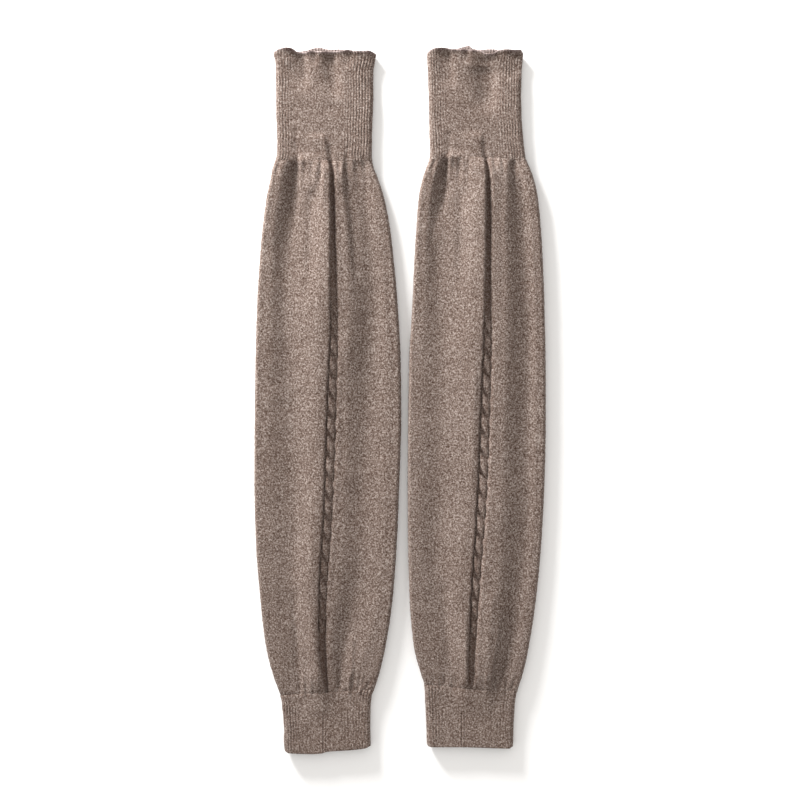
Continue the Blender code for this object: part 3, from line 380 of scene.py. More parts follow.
# The joins between a warmer's lengths, and how far its thigh edge curls up towards the viewer.
LEFT_THIGH_JOIN = table(
    "x down",
    (-47, 101.9), (-33, 103.6), (-22, 104.2), (-8, 103.3), (4, 103.6), (20, 104.5), (34, 103.6),
    (46, 103.8),
)
LEFT_ANKLE_JOIN = table(
    "x down",
    (-44, 620.8), (-28, 619.2), (-10, 618.2), (8, 617.3), (26, 615.9), (46, 615.1),
)
RIGHT_THIGH_JOIN = table(
    "x down",
    (-44, 100.1), (-36, 101.5), (-26, 100.3), (-15, 99), (-4, 99.9), (8, 100.7), (22, 101.2),
    (34, 102), (48, 99.2),
)
RIGHT_ANKLE_JOIN = table(
    "x down",
    (-48, 610.3), (-34, 610.9), (-20, 612.7), (-4, 614.3), (14, 615.7), (42, 615.9),
)
LEFT_CURLS = table(
    "x lift half_width",
    (-34, 1.7, 6.5), (-14, 0.9, 4), (0.5, 1.1, 4), (21, 1.2, 6), (32, 0.8, 4), (43.5, 1.3, 5),
)
RIGHT_CURLS = table(
    "x lift half_width",
    (-33, 1.6, 5), (-21, 1, 2.5), (-11, 1.3, 4), (-2, 1, 3), (16, 1, 6), (37, 1.4, 8),
)
NO_CURLS = table("x lift half_width", (0, 0, 1))

# Creases that only the fine cloth shows. Each runs from its start to its end, with a half width
# on each side; a crease of negative depth is a ridge.
LEFT_CREASES = table(
    "x start end_x end depth left right",
    # under the thigh edge
    (-22.5, -4, -19, 42, 2.6, 11, 5), (-10, -3, -10, 15, 1, 5, 2.5), (4, -3, 12.5, 48, 3.6, 8, 5.5),
    (23, -3, 23, 17, 1.2, 7, 3), (46, -2, 46, 52, 1.6, 9, 3),
    # above the join
    (-27.5, 70, -26.5, 112, 0.6, 4.5, 2.5), (-2.5, 76, 3.5, 122, -1.4, 12, 2.8),
    (4, 86, 9, 126, 1, 2, 2.4), (22, 88, 20, 112, 0.5, 2, 2),
    # on the leg
    (-22, 94, -24.5, 165, -2.1, 2, 20), (-27.2, 98, -30, 165, 2.1, 6.5, 1.6),
    (-23.5, 135, -32, 215, -1, 3, 9), (-1, 100, -12, 150, 0.9, 3, 4),
    (-12.5, 125, -14.5, 245, 2.5, 5.5, 9.5), (-2, 98, -1.5, 160, -0.7, 2.5, 2.5),
    (-15, 99, -16, 148, -0.45, 2.4, 2), (20.5, 96, 31.5, 240, 1.9, 2.8, 5.5),
    (39.5, 98, 42, 160, 0.9, 4.5, 9), (8.6, 122, 10.2, 330, 1.6, 2.5, 7.5),
    (-28, 515, -25, 616, 1.1, 4.5, 3), (-9, 618, -13.5, 530, -0.6, 4, 4),
    (26.5, 560, 24, 622, -1.6, 4, 3),
    # short pleats at the joins
    (-14.5, 99, -15, 118, 0.3, 1.1, 1.1), (-4.2, 99, -2.8, 128, 0.5, 1.1, 1.3),
    (13.5, 99, 14.5, 116, 0.15, 1.1, 1.1), (16.8, 100, 17.5, 112, -0.2, 1.1, 1.1),
    (26, 100, 27, 116, -0.6, 1.2, 1.6), (35.5, 99, 37, 118, 0.5, 1.2, 1.4),
    (-20, 623, -21, 596, -0.7, 1.5, 1.3), (-13.6, 623, -13.2, 588, -0.8, 2.2, 1.2),
    (-6.2, 623, -7.2, 588, -0.6, 2.6, 1.2), (6.5, 622, 1.5, 598, -0.8, 1.4, 1.2),
    (23.5, 621, 23, 594, -1, 1.4, 1.3), (33, 620, 37.5, 592, -1.1, 1.6, 1.5),
)
RIGHT_CREASES = table(
    "x start end_x end depth left right",
    # under the thigh edge
    (-28, -5, -22, 40, 2.3, 9, 5), (-8, -6, -8.5, 13, 1.1, 6, 3), (10.5, 0, 14, 60, 2.4, 12, 9),
    (10, 11, 14.5, 66, 2.7, 12, 9), (42, -3, 42, 30, 2.2, 12, 3),
    # above the join
    (-24, 74, -25, 112, 0.6, 4.5, 2.5), (4, 74, 9.5, 122, -1.3, 12, 2.8),
    (7, 84, 13.5, 124, 1.2, 2.4, 2.4),
    # on the leg
    (-23.6, 92, -26.3, 160, -2.1, 2, 20), (-28.4, 96, -31.5, 165, 2, 5, 1.6),
    (-28, 130, -42, 205, -0.8, 3, 9), (-12.5, 122, -14, 240, 2.2, 5.5, 9.5),
    (12.8, 108, 12.8, 345, 2, 2.5, 9), (0.5, 290, -4.5, 490, -0.9, 5, 4),
    (-28, 505, -25, 614, 1, 6, 5), (-8.6, 616, -9.2, 525, -1.3, 4, 1.6),
    (17, 515, 10, 614, -1.3, 6, 5), (16.2, 613, 29.5, 530, 2.6, 1.6, 7),
    # short pleats at the joins
    (-20.5, 97, -20.5, 118, 0.4, 1.1, 1.3), (-15, 96, -14, 114, -0.4, 1.2, 1.2),
    (-9.5, 97, -9, 124, 0.4, 1.1, 1.2), (17.5, 98, 18, 114, 0.4, 1.1, 1.2),
    (23.5, 98, 24, 112, -0.5, 1.2, 1.4), (38, 98, 40.5, 122, 0.5, 1.2, 1.6),
    (-33, 616, -33.5, 598, 0.4, 1.2, 1.2), (-22, 617, -21.5, 600, 0.4, 1.2, 1.2),
    (11, 620, 11.5, 592, -0.9, 1.8, 1.3), (27, 620, 30.5, 592, -1, 1.6, 1.5),
)

Warmer = namedtuple(
    "Warmer",
    "name side outline groove folds top_gathers ankle_gathers front_edge back_edge curls "
    "dimples creases thigh_join ankle_join ankle_hem cable_start cuff_seam rib_share seed",
)
WARMERS = (
    Warmer(
        "left", -1, LEFT_OUTLINE, LEFT_GROOVE, LEFT_FOLDS, LEFT_TOP_GATHERS, LEFT_ANKLE_GATHERS,
        LEFT_FRONT_EDGE, LEFT_BACK_EDGE, LEFT_CURLS, LEFT_DIMPLES, LEFT_CREASES,
        LEFT_THIGH_JOIN, LEFT_ANKLE_JOIN, LEFT_ANKLE_HEM,
        cable_start=312.0, cuff_seam=-1.5, rib_share=0.8, seed=11,
    ),
    Warmer(
        "right", 1, RIGHT_OUTLINE, RIGHT_GROOVE, RIGHT_FOLDS, RIGHT_TOP_GATHERS,
        RIGHT_ANKLE_GATHERS, RIGHT_FRONT_EDGE, RIGHT_BACK_EDGE, RIGHT_CURLS, RIGHT_DIMPLES,
        RIGHT_CREASES, RIGHT_THIGH_JOIN, RIGHT_ANKLE_JOIN, RIGHT_ANKLE_HEM,
        cable_start=407.5, cuff_seam=-12.7, rib_share=0.6, seed=23,
    ),
)


# ---- Shapes ----
def curve(points, column, at):
    """Reads one column of a table along its first column, smoothly and with no overshoot."""
    xs = next(iter(points.values()))
    ys = points[column]
    slope = np.diff(ys) / np.diff(xs)
    same_way = slope[:-1] * slope[1:] > 0
    mean = 2 * slope[:-1] * slope[1:] / np.where(same_way, slope[:-1] + slope[1:], 1.0)
    tangent = np.concatenate([slope[:1], np.where(same_way, mean, 0.0), slope[-1:]])
    at = np.clip(at, xs[0], xs[-1])
    k = np.clip(np.searchsorted(xs, at) - 1, 0, len(xs) - 2)
    h = xs[k + 1] - xs[k]
    t = (at - xs[k]) / h
    start = (1 + 2 * t) * (1 - t) ** 2 * ys[k] + t * (1 - t) ** 2 * h * tangent[k]
    end = t * t * (3 - 2 * t) * ys[k + 1] + t * t * (t - 1) * h * tangent[k + 1]
    return start + end


def unit(t):
    """t held between 0 and 1."""
    return np.clip(t, 0.0, 1.0)


def ease(t):
    """A smooth step from 0 to 1."""
    t = unit(t)
    return t * t * (3 - 2 * t)


def puff(t):
    """A rise from 0 to 1 that is steepest where it starts."""
    return 1 - (1 - unit(t)) ** 2


def arc(d, reach):
    """Rise of a round edge, from 0 at its side to 1 where it is level."""
    t = 1 - unit(d / reach)
    return np.sqrt(np.maximum(1 - t * t, 0.0))


def uneven(warmer, kind, x, down, waves=18):
    """A smooth uneven field as UNEVEN lists it, with waves 0.7 to 1.7 times as long."""
    strength, size, more = UNEVEN[kind]
    rng = np.random.default_rng(warmer.seed + more)
    total = np.zeros(np.broadcast(x, down).shape)
    for _ in range(waves):
        angle, phase = rng.uniform(0, 2 * np.pi, 2)
        turns = 2 * np.pi / (size * rng.uniform(0.7, 1.7))
        total += np.sin(turns * (x * np.cos(angle) + down * np.sin(angle)) + phase)
    return strength * total / np.sqrt(waves)


def sides(warmer, down):
    """The left and right outline at a distance down the warmer."""
    return curve(warmer.outline, "left", down), curve(warmer.outline, "right", down)


def edge_distance(warmer, x, down):
    """How far a point lies inside the nearer side."""
    left, right = sides(warmer, down)
    return np.minimum(x - left, right - x)


def body_share(warmer, x, down):
    """0 on the thigh band, 1 where the leg has its full height, and fading out over the cuff."""
    top = curve(warmer.thigh_join, "down", x)
    foot = curve(warmer.ankle_join, "down", x)
    above = FOOT_SHARE + (1 - FOOT_SHARE) * puff((foot - down) / FOOT_SWELL)
    below = FOOT_SHARE * (1 - ease((down - foot) / CUFF_FALL))
    return puff((down - top) / JOIN_SWELL) * np.where(down < foot, above, below)


def relief_share(share):
    """How much of the leg's relief shows, from a little at a join to all of it."""
    return JOIN_RELIEF + (1 - JOIN_RELIEF) * share


def fold_height(warmer, x, down):
    """Height of the leg's ridges and valleys, level at each and smooth between them."""
    keys = [(curve(line, "x", down), curve(line, "height", down)) for line in warmer.folds]
    height = keys[0][1] + 0 * x
    for (x0, z0), (x1, z1) in zip(keys, keys[1:]):
        height = np.where(x > x0, z0 + (z1 - z0) * ease((x - x0) / (x1 - x0)), height)
    return height


def gather_depth(warmer, x, down):
    """Depth of the small gathers that fan out of both joins."""
    depth = 0.0
    top = curve(warmer.thigh_join, "down", x)
    foot = curve(warmer.ankle_join, "down", x)
    for rows, away in ((warmer.top_gathers, down - top), (warmer.ankle_gathers, foot - down)):
        for centre, deep, half_width, fade in zip(*rows.values()):
            run = np.maximum(away, 0.0) / fade
            across = (x - centre * (1 + GATHER_FANS * run)) / (
                half_width * (1 + GATHER_WIDENS * run)
            )
            depth += deep * np.exp(-(across**2)) * (1 - ease(run)) * ease(away / GATHER_START)
    return GATHER_GAIN * depth


def crease_depth(creases, x, down):
    """Depth of the creases of a table, each a trough that leans from its start to its end."""
    depth = np.zeros(np.broadcast(x, down).shape)
    for x0, start, x1, end, deep, left, right in zip(*creases.values()):
        t = (down - start) / (end - start)
        across = x - x0 - unit(t) * (x1 - x0)
        across = across / np.where(across < 0, left, right)
        depth += deep * np.exp(-(across**2)) * ease(t / CREASE_START) * ease((1 - t) / CREASE_END)
    return depth


def groove_sides(warmer, down):
    """The x of the groove's left and right side."""
    left = curve(warmer.groove, "left", down)
    right = left + curve(warmer.groove, "width", down)
    left = left + uneven(warmer, "left_brim", 0.0, down)
    return left, right + uneven(warmer, "right_brim", 0.0, down)


def groove_cut(warmer, x, down, spread=0.0):
    """Depth of the groove that the cable lies in, with round brims."""
    left, right = groove_sides(warmer, down)
    cut = 1 - arc(left - spread - x, SHOULDER_LEFT) - arc(x - right - spread, SHOULDER_RIGHT)
    return curve(warmer.groove, "depth", down) * cut


def cable_rise(warmer, x, down):
    """The cable as it shows: one strand after another leans over the one below it."""
    left, right = groove_sides(warmer, down)
    off = x - 0.5 * (left + right)
    run = (down - warmer.cable_start - STRAND_SLOPE * off) / CABLE_REPEAT
    gutter = (0.5 - np.abs(run - np.floor(run) - 0.5)) * CABLE_REPEAT
    across = np.clip(2 * off / (right - left), -1.0, 1.0)
    crown = np.where(across < 0, 1 - np.abs(across) ** 3, 1 - CABLE_STEP * across**4)
    crown = crown * (np.abs(across) < 1)
    shows = ease((right - left - SLIT_GROOVE) / (OPEN_GROOVE - SLIT_GROOVE))
    return CABLE_HEIGHT * shows * crown * ease(gutter / GUTTER_ROUND)


def level(warmer, x, down):
    """Height of the upper side away from its round edges, with no ribs and no cable."""
    share = body_share(warmer, x, down)
    folds = BODY_LEVEL + FOLD_GAIN * fold_height(warmer, x, down)
    folds += uneven(warmer, "leg", x, down)
    height = BAND_HEIGHT + share * (folds - BAND_HEIGHT)
    height += (1 - share) * uneven(warmer, "band", x, down)
    for centre, row, across, along, deep in zip(*warmer.dimples.values()):
        spot = ((x - centre) / across) ** 2 + ((down - row) / along) ** 2
        height -= deep * np.exp(-spot)
    height -= crease_depth(warmer.creases, x, down)
    dip = ((down - curve(warmer.ankle_join, "down", x)) / JOIN_DIP_WIDTH) ** 2
    height -= JOIN_DIP * (1 + uneven(warmer, "dip", x, 0.0)) * np.exp(-dip)
    inside = sides(warmer, down)[1] - x
    height -= SIDE_FALL * (1 - unit(inside / FALL_REACH)) ** 2
    # The least height is a soft stop, which is felt from 1 mm above it to 1 mm below.
    lacking = np.maximum(LEAST_HEIGHT + 1 - height, 0.0)
    return height + np.where(lacking < 2, 0.25 * lacking**2, lacking - 1)


def upper(warmer, x, down, relief=0.0, inset=0.0):
    """Height of the upper side, or of its inner face where inset is the wall's thickness."""
    reach = BAND_ROUND + body_share(warmer, x, down) * (BODY_ROUND - BAND_ROUND) - inset
    rise = arc(edge_distance(warmer, x, down) - inset, reach)
    return FOLD_Z + (level(warmer, x, down) - inset - FOLD_Z + relief) * rise


def under(warmer, x, down, inset=0.0):
    """Height of the underside, with its round edges and soft troughs, or of its inner face."""
    rise = arc(edge_distance(warmer, x, down) - inset, UNDER_ROUND - inset)
    troughs = np.maximum(crease_depth(warmer.creases, -x, down), 0.0)
    troughs = UNDER_TROUGHS * (troughs + gather_depth(warmer, -x, down))
    troughs = np.where(np.asarray(inset) > 0, 0.0, np.minimum(troughs, DEEPEST_TROUGH))
    return FOLD_Z - (FOLD_Z - inset - troughs) * rise


def squeeze(warmer, x, down, wall):
    """The x of the inner face's point behind an outer point."""
    left, right = sides(warmer, down)
    return left + wall + (x - left) * (right - left - 2 * wall) / (right - left)


# ---- Meshes ----
def rows_between(start, end, share, x_at):
    """The x and down of rows that lie at shares of the way from one line to another.

    x_at gives the x of points at their down, and the lines give their down at their x.
    """
    def down_at(x):
        first = curve(start, "down", x)
        return first + share * (curve(end, "down", x) - first)

    down = down_at(0.0)
    for _ in range(ROUNDS):
        x = x_at(down)
        down = down_at(x)
    return x, down


def placed(warmer, x, down, z):
    """Points in metres in the frame, from grids of a warmer's own x, down and height."""
    x, down, z = np.broadcast_arrays(x, down, z)
    return np.stack([warmer.side * AXIS_X + x, EDGE_LINE_Y - down, z], axis=-1) * MM


def shell(name, points, stitches, material, marks):
    """A closed shell from rings that go up its outside and back down its inside.

    stitches gives each point's wale and course, with one more column than points has, so that
    the count runs on over the seam where the rings close. marks holds each point's share of
    the painted shades and of the edge thread's colour that only show in some places, by the
    names that the material knows them by.
    """
    rows, columns = points.shape[:2]
    here = np.arange(rows * columns).reshape(rows, columns)
    right = np.roll(here, -1, axis=1)
    corners = np.stack(
        [here, right, np.roll(right, -1, axis=0), np.roll(here, -1, axis=0)], axis=-1
    ).reshape(-1, 4)
    flat = points.reshape(-1, 3)
    a, b, c, d = (flat[corners[:, k]] for k in range(4))
    if np.sum(np.cross(b - a, d - a) * (a + b + c + d)) < 0:
        corners = corners[:, ::-1]
    mesh = bpy.data.meshes.new(name)
    mesh.vertices.add(len(flat))
    mesh.vertices.foreach_set("co", flat.ravel())
    mesh.loops.add(corners.size)
    mesh.loops.foreach_set("vertex_index", corners.ravel().astype(np.int32))
    mesh.polygons.add(len(corners))
    mesh.polygons.foreach_set("loop_start", np.arange(0, corners.size, 4, dtype=np.int32))
    mesh.update(calc_edges=True)

    row, column = np.divmod(corners, columns)
    closing = column.max(axis=1) - column.min(axis=1) > columns // 2
    column = np.where(closing[:, None] & (column == 0), columns, column)
    mesh.uv_layers.new(name="stitches").data.foreach_set("uv", stitches[row, column].ravel())
    for mark, share in marks.items():
        mesh.attributes.new(mark, "FLOAT", "POINT").data.foreach_set("value", share.ravel())

    mesh.shade_smooth()
    mesh.materials.append(material)
    piece = bpy.data.objects.new(name, mesh)
    bpy.context.collection.objects.link(piece)
    return piece


def beside(*grids):
    """Grids side by side, as the columns of one."""
    return np.concatenate(grids, axis=1)


def around(points):
    """The share of the way round each ring at each of its points, from 0 to 1."""
    steps = np.linalg.norm(np.diff(beside(points, points[:, :1]), axis=1), axis=-1)
    walked = beside(np.zeros((len(points), 1)), np.cumsum(steps, axis=1))
    return walked / walked[:, -1:]


def leg_columns():
    """Where each column of the leg's upper side lies.

    Each row holds the shares of the left side, the groove's left, the groove's right and the
    right side, and an offset.
    """
    left, groove_left, groove_right, right, out = np.eye(5)
    left_corner, right_corner = left + BODY_ROUND * out, right - BODY_ROUND * out
    left_brim, right_brim = groove_left - SHOULDER_LEFT * out, groove_right + SHOULDER_RIGHT * out

    def run(start, end, steps, bend=lambda f: f):
        f = bend(np.arange(steps) / steps)[:, None]
        return start * (1 - f) + end * f

    def slow_start(f):
        return 1 - np.cos(0.5 * np.pi * f)

    def slow_end(f):
        return np.sin(0.5 * np.pi * f)

    return np.concatenate([
        run(left, left_corner, CORNER_STEPS, slow_start),
        run(left_corner, left_brim, PLAIN_STEPS),
        run(left_brim, groove_left, BRIM_STEPS, slow_end),
        run(groove_left, groove_right, CABLE_STEPS),
        run(groove_right, right_brim, BRIM_STEPS, slow_start),
        run(right_brim, right_corner, PLAIN_STEPS),
        run(right_corner, right, CORNER_STEPS, slow_end),
        right[None],
    ])


def build_leg(warmer, material):
    """The plain-knit leg with its folds, gathers, groove and cable."""
    columns = leg_columns()
    share = np.linspace(1, 0, UNDER_COLUMNS + 2)[1:-1]
    share = 0.5 - 0.5 * np.cos(np.pi * share) * (1 - UNDER_EVEN * np.sin(np.pi * share))

    def upper_x(down):
        left, right = sides(warmer, down)
        groove_left, groove_right = groove_sides(warmer, down)
        x = left * columns[:, 0] + groove_left * columns[:, 1] + groove_right * columns[:, 2]
        return x + right * columns[:, 3] + columns[:, 4]

    def under_x(down):
        left, right = sides(warmer, down)
        return left + share * (right - left)

    def grids(count):
        """The x and down of both sides' points, on rows that reach into both bands."""
        top, foot = warmer.thigh_join, warmer.ankle_join
        reach = TUCK / (foot["down"][0] - top["down"][0])
        row = np.linspace(-reach, 1 + reach, count)[:, None]
        return rows_between(top, foot, row, upper_x), rows_between(top, foot, row, under_x)

    def outer(x, down):
        relief = cable_rise(warmer, x, down)
        relief -= groove_cut(warmer, x, down)
        relief -= gather_depth(warmer, x, down)
        relief *= relief_share(body_share(warmer, x, down))
        return upper(warmer, x, down, relief)

    def inner(x, down):
        relief = -INNER_GATHERS * gather_depth(warmer, x, down)
        relief -= groove_cut(warmer, x, down, WALL)
        relief *= relief_share(body_share(warmer, x, down))
        return upper(warmer, squeeze(warmer, x, down, WALL), down, relief, WALL)

    (x, down), (x_under, down_under) = grids(LEG_ROWS)
    below = placed(warmer, x_under, down_under, under(warmer, x_under, down_under))
    plain = beside(placed(warmer, x, down, upper(warmer, x, down)), below)
    rings = beside(placed(warmer, x, down, outer(x, down)), below)
    sunk = groove_cut(warmer, x, down) - cable_rise(warmer, x, down)
    # Painted shade down in the groove, growing with how far the cloth is sunk below its brims.
    groove_shade = np.zeros((LEG_ROWS + LEG_INNER_ROWS, rings.shape[1]))
    groove_shade[:LEG_ROWS, :x.shape[1]] = unit(sunk / GROOVE_SHADE_DEPTH)
    x_all = beside(x, x_under)
    down_all = beside(down, down_under)
    course = beside(down_all, down[:, :1]) / COURSE
    wale = around(plain) * 2 * LEG_WALES
    (x, down), (x_under, down_under) = grids(LEG_INNER_ROWS)
    x_within = squeeze(warmer, x_under, down_under, WALL)
    inner_rings = beside(
        placed(warmer, squeeze(warmer, x, down, WALL), down, inner(x, down)),
        placed(warmer, x_within, down_under, under(warmer, x_within, down_under, WALL)),
    )
    rng = np.random.default_rng(warmer.seed)
    side = 1 - arc(edge_distance(warmer, x_all, down_all), SIDE_REACH)
    bump = (FACE_BUMP + (SIDE_BUMP - FACE_BUMP) * side) * rng.normal(size=side.shape)
    rings += outward(rings) * bump[..., None] * MM
    rings[..., 2] = np.maximum(rings[..., 2], 0.0)
    # The two end rows run on inside the bands, half a wall below their faces.
    rings[0] = 0.5 * (rings[0] + inner_rings[0])
    rings[-1] = 0.5 * (rings[-1] + inner_rings[-1])
    inner_course = beside(down, down_under, down[:, :1]) / COURSE
    inner_wale = around(inner_rings) * 2 * LEG_WALES
    stitches = np.concatenate([
        np.stack([wale, course], axis=-1),
        np.stack([inner_wale, inner_course], axis=-1)[::-1],
    ])
    points = np.concatenate([rings, inner_rings[::-1]])
    return shell(warmer.name + "_leg_knit", points, stitches, material, {"groove_shade": groove_shade})


Band = namedtuple(
    "Band", "length ribs rows front back join join_row seam edge_thread curls side_ribs"
)


def thigh_band(warmer):
    return Band("thigh_knit", THIGH_RIBS, THIGH_ROWS, warmer.front_edge, warmer.back_edge,
                warmer.thigh_join, 0.0, None, 1.0, warmer.curls, RIBS_THIGH)


def ankle_band(warmer):
    return Band("ankle_knit", ANKLE_RIBS, ANKLE_ROWS, warmer.ankle_hem, warmer.ankle_hem,
                warmer.ankle_join, JOIN_ROW, warmer.cuff_seam, 0.0, NO_CURLS, RIBS_ANKLE)


def spread(f, width, reach):
    """How far from the left a point lies that is a share f of the way over a round-edged side."""
    corner = 0.5 * np.pi * reach
    whole = width - 2 * reach + 2 * corner
    near = np.minimum(f, 1 - f) * whole
    inset = np.where(near < corner, reach * (1 - np.cos(near / reach)), near - corner + reach)
    return np.where(f < 0.5, inset, width - inset)


def outward(ring):
    """Unit vectors that point out of each ring of a grid, square to it and level along Y."""
    along = np.roll(ring, -1, axis=1) - np.roll(ring, 1, axis=1)
    out = np.stack([-along[..., 2], 0 * along[..., 1], along[..., 0]], axis=-1)
    return out / np.linalg.norm(out, axis=-1, keepdims=True)


def build_band(warmer, band, material):
    """A ribbed band, from its join up its outside, over its hem and back down its inside."""
    count = band.ribs * RIB_COLUMNS
    over = np.arange(count) / count

    def face(hem, way, share, wall):
        """One side's x, down, place on the face and distance from the hem, from hem to join."""
        def x_at(down):
            left, right = sides(warmer, down)
            return left + spread(way[None], right - left, BAND_ROUND)

        x, down = rows_between(hem, band.join, share[:, None], x_at)
        return squeeze(warmer, x, down, wall), down, x, np.abs(down - curve(hem, "down", x))

    def ribbed(share, wall):
        """The rings' points, their down, and how far each is painted with the curled hem's shade.
        """
        front = face(band.front, over, share, wall)
        back = face(band.back, 1 - over, share, wall)
        x, down, plain_x, run = (beside(*pair) for pair in zip(front, back))
        lift = curl_lift(band, plain_x, run) * (np.arange(2 * count) < count)
        z = lift + beside(upper(warmer, *front[:2], 0.0, wall), under(warmer, *back[:2], wall))
        points = placed(warmer, x, down, z)
        u = np.concatenate([over, 1 + over])[None] * band.ribs
        u = u + uneven(warmer, "ribs", plain_x, down)
        wave = 2 * np.abs(np.cos(np.pi * u)) ** RIB_POWER - 1
        low = ease(RIB_TURN * (FOLD_Z - z) / FOLD_Z)
        relief = rib_depth(warmer, band, plain_x, down, run) * (wave - low)
        if band.seam is not None:
            off = plain_x - band.seam
            fine = np.cos(2 * np.pi * off / SEAM_PITCH) * np.exp(-(off / SEAM_PITCH) ** 2)
            shows = (1 - low) * ease((SEAM_LENGTH - run) / SEAM_FADE)
            relief = relief - CUFF_SEAM_DEPTH * shows * fine
        off = (np.abs(down - curve(band.join, "down", plain_x)) - JOIN_ROW_PLACE) / JOIN_ROW_WIDTH
        relief = relief + (1 - low) * band.join_row * np.exp(-(off**2))
        points += outward(points) * relief[..., None] * MM
        return points, down, unit(lift / CURL_FULL)

    out_share = np.concatenate([[1.0, 1 - END_CREASE], np.linspace(1, 0, band.rows - 1)[1:]])
    in_share = np.linspace(0, 1, BAND_INNER_ROWS) ** INNER_CROWDING
    wall = HEM_WALL + (WALL - HEM_WALL) * ease(in_share / HEM_REACH)[:, None]
    outer, outer_down, outer_curl_shade = ribbed(out_share, 0.0)
    inner, inner_down, inner_curl_shade = ribbed(in_share, wall)

    middle = 0.5 * (outer[-1] + inner[0])
    half = 0.5 * (outer[-1] - inner[0])
    ahead = outer[-1] - outer[-3]
    ahead /= np.linalg.norm(ahead, axis=-1, keepdims=True)
    length = np.concatenate([[0], np.cumsum(np.linalg.norm(np.diff(middle, axis=0), axis=-1))])
    stitch = np.abs(np.cos(np.pi * length / (EDGE_PITCH * MM)))[:, None]
    swell = 1 + band.edge_thread * EDGE_SWELL * stitch
    radius = np.linalg.norm(half, axis=-1, keepdims=True) * swell
    rim = [
        middle + np.cos(angle) * half * swell + np.sin(angle) * ahead * radius
        for angle in np.radians(RIM_ANGLES)
    ]
    points = np.concatenate([outer, rim, inner])

    hem_down = outer_down[-1:] + RIM_COURSE * np.arange(1, len(rim) + 1)[:, None]
    course = np.concatenate([outer_down, hem_down, inner_down])
    course = beside(course, course[:, :1]) / COURSE
    wale = np.arange(2 * count + 1) / RIB_COLUMNS * 2 + 0 * course
    # Painted shade where the hem curls up, carried round the rim; the edge thread gives way to it.
    curl_shade = np.concatenate([outer_curl_shade, [outer_curl_shade[-1]] * len(rim), inner_curl_shade])
    thread = np.zeros(points.shape[:2])
    near = np.arange(band.rows - 1, band.rows + len(rim) + 1)
    thread[near] = band.edge_thread * (1 - curl_shade[near])
    name = warmer.name + "_" + band.length
    stitches = np.stack([wale, course], axis=-1)
    return shell(name, points, stitches, material, {"thread": thread, "curl_shade": curl_shade})


def curl_lift(band, x, run):
    """How far the hem curls up from the band's face, at a distance run from the hem."""
    lift = np.zeros(np.broadcast(x, run).shape)
    for centre, high, half_width in zip(*band.curls.values()):
        lift += high * np.exp(-((x - centre) / half_width) ** 2)
    return lift * (1 - unit(run / CURL_REACH)) ** 2


def rib_depth(warmer, band, x, down, run):
    """Half height of the ribs: low in a band's middle, full near its sides and its hem."""
    left, right = sides(warmer, down)
    insides = (x - left, right - x)
    near = [
        full * (1 - ease((inside - side) / fade))
        for full, inside, side, fade in zip(band.side_ribs, insides, RIB_SIDES, RIB_FADES)
    ]
    depth = RIB_MIDDLE + (1 - RIB_MIDDLE) * np.maximum(*near)
    depth = depth + curl_lift(band, x, run) * RIB_CURL
    depth = np.maximum(depth, RIB_HEM * band.edge_thread * (1 - ease(run / RIB_HEM_REACH)))
    depth = depth * (1 + uneven(warmer, "rib_depth", x, down))
    return warmer.rib_share * RIB_RELIEF * depth


# ---- Materials ----
class Graph:
    """A material's nodes, with short calls for the ones used most."""

    def __init__(self, name):
        self.material = bpy.data.materials.new(name)
        self.material.use_nodes = True
        self.nodes = self.material.node_tree.nodes
        self.links = self.material.node_tree.links
        self.shader = self.nodes["Principled BSDF"]

    def add(self, kind, inputs=None, **settings):
        node = self.nodes.new("ShaderNode" + kind)
        for key, value in settings.items():
            setattr(node, key, value)
        self.fill(node, inputs or {})
        return node

    def fill(self, node, inputs):
        for key, value in inputs.items():
            self.put(node.inputs[key], value)

    def put(self, socket, value):
        if isinstance(value, bpy.types.NodeSocket):
            self.links.new(value, socket)
        else:
            socket.default_value = value

    def math(self, operation, a, b=0.0, c=0.0, clamp=False):
        node = self.add("Math", operation=operation, use_clamp=clamp)
        for socket, value in zip(node.inputs, (a, b, c)):
            self.put(socket, value)
        return node.outputs[0]

    def noise(self, where, size, detail, roughness):
        """Noise of about -1 to 1, whose patches are about size millimetres wide."""
        node = self.add("TexNoise", {
            "Vector": where, "Scale": 1 / (size * MM), "Detail": detail, "Roughness": roughness,
        })
        return self.math("MULTIPLY_ADD", node.outputs["Fac"], 4.0, -2.0)

    def mix(self, factor, a, b):
        """Two colours mixed, by a Mix node's sockets for colours."""
        node = self.add("Mix", data_type="RGBA")
        self.put(node.inputs[0], factor)
        self.put(node.inputs[6], a)
        self.put(node.inputs[7], b)
        return node.outputs[2]


